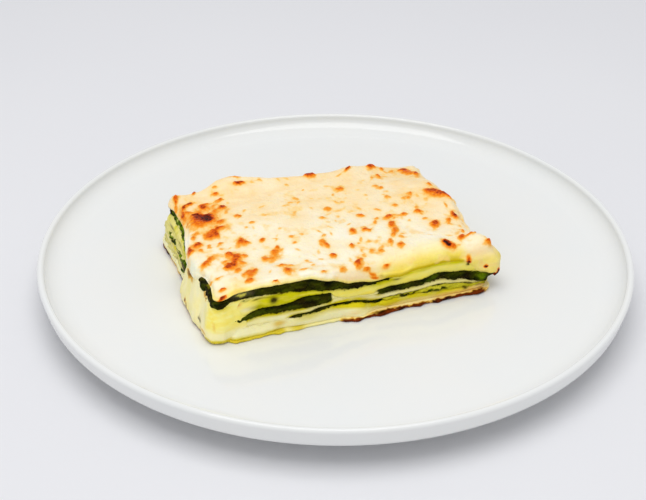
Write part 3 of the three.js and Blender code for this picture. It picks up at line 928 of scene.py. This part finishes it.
# Brown spots, each x, y, half length, half width, turn in degrees, and how dark: 1 is black
SPOTS = [
    (-56.4, 36.6, 2.6, 1.3, 75, 0.55), (-58.4, 32, 2.4, 0.9, 70, 0.3), (-47.1, 39.4, 1.4, 0.6, 50, 0.7),
    (-26.4, 44.9, 3.2, 0.8, -4, 0.4), (-25.2, 40, 3, 1.1, 4, 0.75), (-36.8, 39.7, 1.4, 0.9, 0, 0.3),
    (-37.7, 35.8, 2.1, 1.4, 10, 0.55), (-56.7, 24.8, 2.4, 1.0, 70, 0.5), (-54.6, 28.9, 2.3, 0.9, 55, 0.65),
    (-51.3, 30.9, 2.2, 0.8, 25, 0.7), (-46.1, 27.3, 2.6, 1.5, 85, 0.5), (-43.9, 29.2, 1.5, 1.0, 0, 0.4),
    (-38, 24.1, 2.5, 1.8, 80, 0.72), (-51.6, 19.2, 2.8, 2.3, 60, 0.74), (-47.5, 14.8, 3.4, 2.7, 70, 0.9),
    (-50, 15.5, 6.2, 5.0, 60, 0.48), (-43, 10.8, 2, 1.3, 30, 0.4), (-33.9, 13.4, 1.8, 1.6, 0, 0.42),
    (-48.8, 2.2, 3.9, 3.0, 40, 0.56), (-43.4, 6.2, 2.4, 1.3, 25, 0.46), (-29.9, 5.3, 1.5, 1.1, 0, 0.35),
    (-57.1, 2.6, 1.5, 0.9, 80, 0.34), (-57.1, -3.7, 2.1, 1.8, 60, 0.48), (-52.4, -6.3, 1.3, 1.0, 60, 0.32),
    (-56.4, -7.9, 1.4, 0.9, 60, 0.3), (-61.4, -6.0, 2.6, 1.9, 85, 0.66), (-47.1, -5.7, 1.2, 0.7, 20, 0.4),
    (-38, -8, 3.8, 2.6, 65, 0.55), (-29.3, -9.4, 1.9, 1.2, 50, 0.5), (-16.1, -11, 1.6, 1.3, -30, 0.36),
    (-16.8, -16, 1.1, 0.9, 0, 0.3), (-56.2, -18, 4.9, 1.6, 43, 0.52), (-46.1, -15.4, 2.1, 1.6, 60, 0.54),
    (-43.4, -18, 2.1, 1.7, 60, 0.52), (-39.9, -18.2, 1.4, 1.2, 0, 0.34), (-45.2, -21, 2.6, 1.5, 50, 0.48),
    (-48.2, -24.6, 3.1, 2.5, 20, 0.62), (-42.4, -23.5, 1.6, 1.3, 0, 0.32), (-27.3, -20.3, 2.8, 1.9, 50, 0.5),
    (-24.9, -16.6, 1.8, 1.0, 60, 0.42), (-33, -23.8, 2.6, 1.4, 75, 0.42), (-5.3, -19.3, 2.0, 1.3, 80, 0.4),
    (-4.6, -22.9, 2.8, 1.3, 85, 0.52), (-3, -14.8, 1.2, 0.8, 45, 0.28), (-4.6, -31.3, 1.9, 1.5, 30, 0.52),
    (-28, -31.9, 1.8, 1.6, 0, 0.54), (-27.3, -38.4, 3.0, 1.8, 75, 0.58), (-42.6, -34.4, 4.6, 2.6, 75, 0.5),
    (-46.1, -29, 2.2, 1.5, 50, 0.36), (-43.9, -39.8, 1.6, 1.2, 0, 0.3), (-39.3, -32.3, 1.3, 0.7, 60, 0.34),
    (-55.7, -39.3, 1.9, 1.1, -20, 0.66), (-57.5, -44.6, 2.0, 1.3, 50, 0.8), (-34.6, -43.8, 0.9, 0.7, 0, 0.7),
    (-13.3, -43.2, 1.4, 1.1, 0, 0.5), (-4.6, -42.8, 2.2, 1.7, 70, 0.34), (8.8, 38.1, 2.5, 2.1, 0, 0.7),
    (27.8, 37.2, 2.2, 0.7, 35, 0.8), (40.3, 38.8, 2.3, 1.7, 15, 0.66), (45.6, 37.2, 2.1, 1.2, 70, 0.46),
    (40.9, 30.9, 2.6, 1.2, 80, 0.46), (55.9, 31, 4.8, 3.3, 80, 0.5), (55.6, 34.6, 2.0, 1.4, 0, 0.62),
    (59.1, 26.9, 2.4, 0.9, 80, 0.55), (18.4, 22.5, 2.0, 1.6, -40, 0.46), (13.4, 18.4, 1.8, 0.9, 75, 0.32),
    (37.5, 18.1, 1.4, 0.8, 60, 0.3), (6.3, 7.2, 2.2, 1.8, 0, 0.38), (36.3, 8.8, 2.0, 1.5, 70, 0.4),
    (46.6, 6.9, 1.6, 1.2, 0, 0.28), (57.7, 3.4, 4.6, 3.2, -40, 0.66), (62.4, -0.5, 2.6, 0.8, -75, 0.6),
    (58.8, 11.3, 1.8, 0.7, -70, 0.5), (27.5, -0.7, 1.7, 0.9, -40, 0.36), (36.9, -0.5, 1.6, 1.3, 0, 0.34),
    (18.5, -3, 2.4, 1.7, -60, 0.46), (29.7, -8.2, 2.3, 1.9, 10, 0.56), (37.5, -8.8, 1.6, 1.4, 0, 0.42),
    (44.7, -8.4, 2.2, 1.9, 0, 0.52), (22.8, -10.7, 2.1, 1.0, 60, 0.34), (24.7, -7.9, 1.3, 0.8, 60, 0.3),
    (10, -15.6, 2.4, 1.9, 60, 0.4), (16.3, -16.8, 2.2, 1.6, -30, 0.42), (28.8, -15.4, 2.9, 1.6, 60, 0.52),
    (28.4, -20.4, 3.0, 1.6, 70, 0.44), (25.9, -24.1, 1.3, 0.9, 50, 0.36), (23, -28.2, 2.8, 1.1, 80, 0.4),
    (25.9, -32.6, 2.6, 1.7, 70, 0.5), (5.6, -26.3, 1.6, 1.4, 0, 0.44), (10.9, -23.5, 2.6, 0.8, 70, 0.24),
    (11.9, -32.9, 1.9, 1.2, 50, 0.32), (16.9, -33.8, 1.2, 0.9, 0, 0.26), (3.4, -39.8, 3.8, 1.5, 68, 0.54),
    (5.6, -37.3, 1.6, 0.9, 70, 0.36), (5.3, -46, 2.6, 1.6, 80, 0.5), (6.2, -49, 1.7, 1.3, -35, 0.45),
    (6.9, -51.8, 1.8, 1.2, -20, 0.42), (14.7, -44.6, 2.6, 1.5, 45, 0.54),
    (47.2, -21, 3.2, 2.0, 60, 0.56), (54.4, -20.1, 2.1, 1.2, 70, 0.48), (58.4, -16.6, 3.0, 1.1, 85, 0.7),
    (58.3, -8.4, 2.4, 0.7, 85, 0.36), (45, -15, 1.3, 1.0, 0, 0.28), (44.2, -38.2, 1.8, 1.3, 60, 1.2),
    (45.3, -40, 1.9, 1.4, 60, 1.2), (47.3, -41.6, 2.4, 1.3, 65, 0.5), (53.1, -35.4, 2.1, 1.4, 50, 0.56),
    (56.8, -29.6, 2.4, 0.8, 70, 0.42), (57.5, -34.8, 2.2, 0.5, 25, 0.5), (61.5, -34.5, 2.6, 0.4, 0, 0.4),
    (62.9, -44.8, 3.8, 2.2, 80, 0.42), (62.6, -43.4, 1.2, 0.9, 0, 0.4),
]
FRECKLES = 240
MOTTLING = 0.16
HEM_ROWS = 12
# The heights where the top's upper side and its underside are given their plan
CREST, UNDERSIDE = 25, 20


def browning_at(x, y):
    """How brown the top is at (x, y). Spots add up as veils do: one minus the product of what each leaves.

    The distance from a spot's middle is measured along its length and across, each as a share of its half
    size, and broken up by noise. Its core fades over one half size, and a weak glow round it over two.
    """
    place = np.stack([x, y, 0 * x], axis=-1)
    fuzz = 0.3 * rough(place, 2.6, 3, 30)
    chance = np.random.default_rng(7)
    freckles = np.stack([
        chance.uniform(-60, 60, FRECKLES), chance.uniform(-42, 41, FRECKLES),
        chance.uniform(0.7, 2.4, FRECKLES), chance.uniform(0.5, 1.3, FRECKLES),
        chance.uniform(0, 180, FRECKLES), chance.uniform(0.06, 0.26, FRECKLES),
    ], axis=1)
    left = 1 - MOTTLING * ease(rough(place, 5, 3, 33), 0.1, 1.1)
    for centre_x, centre_y, length, width, turn, dark in [*SPOTS, *freckles.tolist()]:
        cos, sin = np.cos(np.radians(turn)), np.sin(np.radians(turn))
        along = ((x - centre_x) * cos + (y - centre_y) * sin) / length
        across = ((y - centre_y) * cos - (x - centre_x) * sin) / width
        distance = np.hypot(along, across) + fuzz
        left *= 1 - 0.8 * dark * (1 - ease(distance, 0.3, 1.4))
        left *= 1 - 0.4 * dark * bell(np.maximum(distance, 0), 0, 1.8)
    return 1 - left


def roll_at(x, y):
    """How far from the edge the top starts to roll down: little along the left of the cut face, more to the
    right of it and round the other sides."""
    front = mix(1.3, 6.5, ease(x, -8, 24))
    side = mix(3.6, 2.2, ease(y, -8, 4) * (1 - ease(x, 0, 20)))
    return mix(side, front, near_front(y))


def right_corner(x, y):
    """1 at the front right corner, where the top hangs down lowest."""
    return ease(x, 46, 61) * (1 - ease(y, -32, -22))


def hem_at(x, y):
    """How far the top's edge hangs below its own underside. At one place it ends in a small burnt tip."""
    over_left = 3.4 * ease(-x, 45, 57) * ease(y, -26, -20) * (1 - ease(y, -6, 2))
    over_right = 0.9 * near_front(y) * ease(x, 16, 24) + 5.2 * right_corner(x, y)
    return over_left + over_right + 0.15 + hump(x, y, *BURNT_TIP, 4)


def hem_foot(x, y):
    """The height of the top's lower edge."""
    return lower_face("gratin_top", x, y) - hem_at(x, y)


def top_height(u, v, x, y):
    """The top's height: the full height, humps, blisters, soft dents, and the roll at the edge. And how brown
    it is: on the roll, the pattern is read as far out as the surface has dropped."""
    inner_x, inner_y = np.clip(x, -HALF_LENGTH, HALF_LENGTH), np.clip(y, -HALF_WIDTH, HALF_WIDTH)
    place = np.stack([x, y, 0 * x], axis=-1)
    height = full_height(inner_x, inner_y) + sum(hump(x, y, *rise) for rise in RISES)
    from_edge = np.minimum((1 - np.abs(u)) * HALF_LENGTH, (1 - np.abs(v)) * HALF_WIDTH)
    roll = roll_at(x, y)
    share = np.clip(1 - from_edge / roll, 0, 1)
    drop = roll * 0.8 * (1 - np.sqrt(1 - 0.995 * share**2))
    brown = browning_at(*unrolled(x, y, drop))
    blister = 0.9 * ease(brown, 0.2, 0.6) - 0.35 * ease(brown, 0.6, 0.9)
    uneven = 0.28 * rough(place, 7, 3, 20) + 0.12 * lumps(place, 1.1, 24) * (0.4 + brown)
    return np.minimum(height - 0.45 + blister + uneven, TOP_LIMIT) - drop, brown


def unrolled(x, y, drop):
    """Where a point of the edge that has dropped would lie if the top ran on level, seen along the slanting
    line from over the front left."""
    return x - 0.5 * drop, y - mix(0, 1.5, near_front(y)) * drop


def top_surface():
    """The top as a grid of its upper side, whose border goes on as rings down its hem and under it. Returns
    points, faces and how brown each point is."""
    u, v = np.meshgrid(*(np.linspace(-1, 1, steps + 1) for steps in EDGE_STEPS))
    x, y, _ = plan(u, v, CREST)
    z, brown = top_height(u, v, x, y)
    cap = np.stack([x, y, z], axis=-1)
    number = np.arange(u.size).reshape(u.shape)
    border = np.concatenate([number[0, :-1], number[:-1, -1], number[-1, :0:-1], number[:0:-1, 0]])
    rim_x, rim_y, rim_z = cap.reshape(-1, 3)[border].T
    edge_u, edge_v = u.ravel()[border], v.ravel()[border]
    foot = hem_foot(rim_x, rim_y)
    rolled = roll_at(rim_x, rim_y) * 0.75
    tip = hump(rim_x, rim_y, *BURNT_TIP, 1)
    rings, browns = [], [brown.ravel()]
    for down in np.linspace(0, 1, HEM_ROWS + 1)[1:]:
        height = mix(rim_z, foot, down)
        x, y, outward = plan(edge_u, edge_v, mix(CREST, height, min(1, 2 * down)))
        point = np.stack([x, y, height], axis=-1)
        corner = right_corner(x, y)
        tuck = 0.5 * ease(down, 0.8, 1) * (1 - 0.9 * ease(x, 60, 66))
        swell = 0.2 + 0.5 * np.sin(np.pi * down) - tuck + 0.35 * rough(point, 5, 3, 40)
        swell = swell + corner * (0.4 + 1.7 * down * ease(x, 60, 66))
        swell = swell + 2.2 * tip * ease(down, 0.5, 1)
        point[:, :2] += outward * (swell * min(1, 4 * down))[:, None]
        rings.append(point)
        burnt = np.clip(3 * tip, 0, 1) * ease(down, 0.7, 0.85)
        faded = 1 - 0.9 * ease(down, 0.15, 0.4) * ease(x, 62, 65) * ease(y, -41, -38)
        browns.append(np.maximum(faded * browning_at(*unrolled(x, y, rolled + rim_z - height)), burnt))
    for share, rise in ((0.985, 0.1), (0.96, 1.0), (0.7, 1.0), (0.3, 1.0)):
        x, y, _ = plan(edge_u * share, edge_v * share, UNDERSIDE)
        rings.append(np.stack([x, y, mix(foot, lower_face("gratin_top", x, y), rise)], axis=-1))
        browns.append(0 * x)
    rings = np.stack(rings)
    squares = np.stack([number[:-1, :-1], number[:-1, 1:], number[1:, 1:], number[1:, :-1]], axis=-1)
    ring_number = u.size + np.arange(rings.shape[0] * rings.shape[1]).reshape(rings.shape[:2])
    chain = np.concatenate([border[None], ring_number])
    after = np.roll(chain, -1, axis=1)
    hem = np.stack([chain[1:], after[1:], after[:-1], chain[:-1]], axis=-1)
    pole = np.full(chain.shape[1], u.size + rings.shape[0] * rings.shape[1])
    fan = np.stack([pole, after[-1], chain[-1]], axis=-1)
    points = np.concatenate([cap.reshape(-1, 3), rings.reshape(-1, 3), [rings[-1].mean(0)]])
    faces = squares.reshape(-1, 4).tolist() + hem.reshape(-1, 4).tolist() + fan.tolist()
    return points, faces, np.concatenate([*browns, [0]])


def gratin_material():
    """Cream that goes from white to warm by the toast mask, milky by the milk mask, and yellow and then olive
    by the stain mask, whose olive also stands for painted shade in the crease at the hem's foot. The browning
    mask, broken up by fine noise, runs through orange and brown to black."""
    material, tree, shader = new_material("gratin")
    fine = grouped(tree, MOTTLE, Size=0.0012, Contrast=1.6)
    clouds = grouped(tree, MOTTLE, Size=0.009, Contrast=1.8)
    blots = grouped(tree, MOTTLE, Size=0.004, Stretch=1.5, Contrast=2.5)
    white = blend_colours(tree, clouds, colour(255, 242, 204), colour(255, 250, 232))
    warm = blend_colours(tree, blots, colour(255, 220, 162), colour(255, 232, 186))
    body = blend_colours(tree, attribute(tree, "toast"), white, warm)
    body = blend_colours(tree, attribute(tree, "milk"), body, colour(234, 242, 216))
    yellow = blend_colours(tree, clouds, colour(248, 218, 76), colour(254, 236, 126))
    body = blend_colours(tree, window(tree, attribute(tree, "stain"), 0, 0.5), body, yellow)
    olive = window(tree, attribute(tree, "stain"), 0.5, 1)
    body = blend_colours(tree, olive, body, colour(204, 178, 0))
    broken = multiply(tree, attribute(tree, "browning"), between(tree, fine, 0.75, 1.25))
    ramp = tree.nodes.new("ShaderNodeValToRGB")
    stops = [
        (0.0, (255, 236, 186)), (0.2, (255, 206, 110)), (0.4, (250, 152, 34)), (0.58, (226, 96, 0)),
        (0.74, (150, 44, 0)), (0.9, (40, 4, 0)),
    ]
    for place, tone in stops[2:]:
        ramp.color_ramp.elements.new(place)
    for element, (place, tone) in zip(ramp.color_ramp.elements, stops):
        element.position = place
        element.color = colour(*tone)
    tree.links.new(broken, ramp.inputs[0])
    cover = window(tree, broken, 0.02, 0.28)
    base = blend_colours(tree, cover, body, ramp.outputs[0])
    relief = grouped(tree, RELIEF, Size=0.0018, Stretch=1.0, Depth=0.0003)
    dress(tree, shader, base, between(tree, clouds, 0.26, 0.42), relief)
    wet_food(shader, specular=0.08)
    return material


# Marks low on the hem of the cut face, by x and height
HEM_MARKS = [(53.4, 18.5, 1.2, 1.5, 0.6), (61.9, 13.1, 0.6, 0.55, 2.2), (53.4, 16.8, 0.7, 0.5, 1.5)]
points, faces, brown = top_surface()
x, y, z = points.T
near = near_front(y)
toast = mix(0.1, 0.95, ease(y + 0.3 * x, -25, 25)) + 0.3 * rough(points * [1, 1, 0], 12, 2, 50)
toast = np.clip(toast + 0.7 * near * (1 - ease(z, 20, 25)) * ease(x, -18, -8), 0, 1)
above_foot = z - hem_foot(x, y)
right_part = np.maximum(ease(x, 4, 18) * near_front(y + 4), ease(x, 57, 62) * (1 - ease(y, -30, -18)))
low_down = mix(1 - ease(above_foot, 3, 12), 1 - ease(z, 16, 21.5), ease(x, 49, 57))
yellow = mix(0.5, 0.42, ease(x, 52, 60)) * low_down * right_part
# The olive at the hem's foot, right of the cut face, is partly spinach stain and partly painted shade of the
# crease under the hem.
olive = 0.5 * (1 - ease(above_foot, 1.2, 3.2)) * right_part * (1 - ease(x, 50, 54))
olive = olive + spot(x, z, 12.5, 18.2, 1.2, 0.8, 0.7) * near
left_part = 0.42 * (1 - ease(above_foot, 0.6, 3)) * near * (1 - ease(x, 4, 18))
left_part = left_part + spot(x, z, -50, 23.4, 2.8, 1.1, 0.5) * near
over_left_end = ease(-x, 55, 61) * ease(y, -27, -20) * (1 - ease(y, -12, -4))
masks = {
    "browning": np.maximum(brown, np.clip(spots(x, z, HEM_MARKS), 0, 1) * near),
    "toast": toast,
    "stain": np.clip(yellow + olive + left_part, 0, 1),
    "milk": 0.65 * over_left_end * (1 - ease(above_foot, 5, 8)),
}
make_piece("browned_top", on_plate(points), faces, "gratin_top", "gratin", gratin_material(), masks)


# The folded sheet: the end of a pasta sheet turned up over the left end of the slice and round its front
# corner, where it runs out over the cut face. Its foot spreads out on the plate.
FOLD_FRONT_END = -47
FOLD_TAPER = 9
FOLD_CORNER = 5
FOLD_STEPS = 150
# How far the foot spreads, at even stations along the sheet from its back end to its front end
FOLD_FLARES = [5.6, 6.0, 6.0, 5.4, 4.8, 4.2, 3.4, 2.9, 2.6]
FOLD_STATION = 5.8
# Brown specks and spots on the sheet: each y, height, half length, half height, and how dark
FOLD_SPOTS = [
    (-10, 15.4, 3.4, 1.6, 0.75), (-13.5, 14.6, 2.6, 1.0, 0.4), (-31.5, 17.6, 2.6, 1.3, 0.4),
    (-42.9, 8.6, 0.5, 0.5, 0.5), (-42.8, 10.8, 0.4, 0.4, 0.4), (-12.5, 4.2, 0.8, 1.0, 1.0),
    (-14.6, 3.2, 0.8, 0.9, 0.95), (-15.8, 2.5, 0.7, 0.7, 1.0), (-18.1, 1.9, 0.9, 0.7, 0.9),
    (-37.2, 3.6, 2.6, 0.7, 0.26), (-33.5, 3.0, 1.5, 0.5, 0.3),
]


def fold_path(share):
    """The sheet's centreline in plan, the way outwards from it, how far along it is, and its whole length: it
    runs straight forward along the left side, takes a quarter turn, and runs straight along the cut face."""
    left, front = -HALF_LENGTH + FOLD_THICKNESS / 2, -HALF_WIDTH + FOLD_THICKNESS / 2
    turn = FOLD_CORNER - FOLD_THICKNESS / 2
    first, bend = FOLD_BACK_END - front - turn, turn * np.pi / 2
    whole = first + bend + FOLD_FRONT_END - left - turn
    along = share * whole
    angle = np.clip((along - first) / turn, 0, np.pi / 2)
    x = left + turn * (1 - np.cos(angle)) + np.maximum(along - first - bend, 0)
    y = FOLD_BACK_END - np.minimum(along, first) - turn * np.sin(angle)
    return x, y, -np.cos(angle), -np.sin(angle), along, whole


def fold_rings():
    """The sheet's section, a rounded upright strip, carried along its path. The outer side spreads at the
    foot as listed, swells a little in its upper half, and sinks behind the cut face at the front end."""
    x, y, out_x, out_y, along, whole = fold_path(np.linspace(0, 1, FOLD_STEPS)[:, None])
    angle = np.linspace(0, 2 * np.pi, 72, endpoint=False)
    across, up = np.cos(angle), np.sin(angle)
    across = np.sign(across) * np.abs(across) ** 0.35
    up = (np.sign(up) * np.abs(up) ** 0.5 + 1) / 2
    top = lower_face("spinach_upper", x + 0 * across, y + 0 * across) + 0.4
    height = mix(0.3, top, up)
    middle = FOLD_STATION * (len(FOLD_FLARES) - 1) / 2
    flare = at_station(FOLD_FLARES, along - middle, FOLD_STATION) * (1 - up) ** 1.2
    ripple = 0.25 * np.sin(y / 2.3 + x / 3) * (0.3 + up) + 0.4 * np.sin(np.pi * up)
    face = FOLD_THICKNESS / 2 - 0.3 + flare + ripple
    end = whole - 1 - 3 * (1 - ease(up, 0.3, 0.5)) + 0.8 * np.sin(7 * up)
    face = mix(face, 0.9 + 1.2 * (1 - up) ** 2, ease(along, end - FOLD_TAPER, end))
    out = np.where(across > 0, face, FOLD_THICKNESS / 2) * across
    place = np.stack([x + out_x * out, y + out_y * out, height], axis=-1)
    out = out + 0.5 * rough(place * [1, 1, 0.45], 5, 3, 70) * (across > 0)
    return np.stack([x + out_x * out, y + out_y * out, height], axis=-1)


points, faces = closed_rings(on_plate(fold_rings()))
place = np.stack(slice_place(points), axis=-1)
x, y, z = place.T
brown = 0.8 * (1 - ease(z, 0.2, 1.5)) * ease(y, -39, -35)
fuzzy = 0.5 * rough(place, 1.5, 2, 78)
for centre_y, centre_z, half_length, half_height, dark in FOLD_SPOTS:
    distance = np.hypot((y - centre_y) / half_length, (z - centre_z) / half_height) + fuzzy
    brown = np.maximum(brown, dark * (1 - ease(distance, 0.4, 1.5)) * (1 - ease(x, -59, -57.5)))
at_front = 1 - ease(y, -41, -36)
milk = mix(0.8 + 0.3 * rough(place, 5, 2, 79), 0.85 * (1 - ease(z, 5, 8)) * ease(z, 2, 3.2), at_front)
foot = (1 - ease(z, 1.4, 3.0)) * (1 - ease(y, -39, -34))
stain = 0.9 * foot + 0.25 * ease(rough(place, 6, 2, 77), 0.1, 0.9)
brown = np.maximum(brown, 0.1 * foot)
fleck = 1 - ease(np.hypot((y + 31) / 2.1, (z - 5.8) / 1.1) + 0.6 * fuzzy, 0.6, 1.1)
masks = {"stain": np.clip(stain, 0, 1), "browning": brown, "leaf": 0.9 * fleck, "milk": np.clip(milk, 0, 1)}
make_piece("folded_sheet", points, faces, "pasta_fold", "pasta", PASTA, masks)


# The floor: a plain pale table top under the plate.
def floor_material():
    """Plain pale matte surface with a barely uneven tone."""
    material, tree, shader = new_material("pale_floor")
    clouds = grouped(tree, MOTTLE, Size=0.2, Contrast=1.0, Detail=1.0)
    tone = blend_colours(tree, clouds, colour(236, 236, 239), colour(240, 240, 242))
    tree.links.new(tone, shader.inputs["Base Color"])
    shader.inputs["Roughness"].default_value = 0.7
    return material


FLOOR_HALF = 2.5
mesh = bpy.data.meshes.new("floor")
corners = [(-1, -1, 0), (1, -1, 0), (1, 1, 0), (-1, 1, 0)]
mesh.from_pydata((np.array(corners) * FLOOR_HALF).tolist(), [], [(0, 1, 2, 3)])
mesh.materials.append(floor_material())
floor = bpy.data.objects.new("floor", mesh)
bpy.context.scene.collection.objects.link(floor)

# The light: a bright even sky and a large softbox overhead. A weak one at the left front and a small low one
# in front fill in the food, and are flagged off from the plate and the table.
world = bpy.data.worlds.new("studio")
world.use_nodes = True
world.node_tree.nodes["Background"].inputs["Color"].default_value = colour(246, 247, 250)
world.node_tree.nodes["Background"].inputs["Strength"].default_value = 0.6
bpy.context.scene.world = world
# Each softbox's place, size and power
SOFTBOXES = {
    "softbox_above": ((-0.1, -0.12, 1.1), 0.9, 6.0),
    "softbox_left": ((-0.9, -0.5, 0.6), 0.5, 1.4),
    "softbox_low": ((-0.12, -0.40, 0.07), 0.12, 0.16),
}
food = bpy.data.collections.new("food")
for piece in bpy.context.scene.objects:
    if piece.type == "MESH" and piece.name not in ("porcelain_plate", "floor"):
        food.objects.link(piece)
for name, (place, size, power) in SOFTBOXES.items():
    light = bpy.data.lights.new(name, "AREA")
    light.size = size
    light.energy = power
    lamp = bpy.data.objects.new(name, light)
    lamp.location = place
    lamp.rotation_mode = "QUATERNION"
    lamp.rotation_quaternion = (-Vector(place)).to_track_quat("-Z", "Y")
    bpy.context.scene.collection.objects.link(lamp)
    if name != "softbox_above":
        lamp.light_linking.receiver_collection = food

# The camera: a short telephoto view from the front left, looking down at the plate at 32 degrees.
CAMERA_PLACE = Vector((-0.1668, -0.4420, 0.3085))
CAMERA_AIM = Vector((0.00245, 0.02306, 0.0))
CAMERA_ROLL = np.radians(0.278)
camera = bpy.data.objects.new("camera", bpy.data.cameras.new("camera"))
camera.data.sensor_width = 36
camera.data.lens = 66.87
camera.data.clip_start, camera.data.clip_end = 0.01, 10
turn = (CAMERA_AIM - CAMERA_PLACE).to_track_quat("-Z", "Y").to_matrix() @ Matrix.Rotation(CAMERA_ROLL, 3, "Z")
camera.location = CAMERA_PLACE
camera.rotation_mode = "QUATERNION"
camera.rotation_quaternion = turn.to_quaternion()
bpy.context.scene.collection.objects.link(camera)
bpy.context.scene.camera = camera
bpy.context.scene.view_settings.view_transform = "Standard"
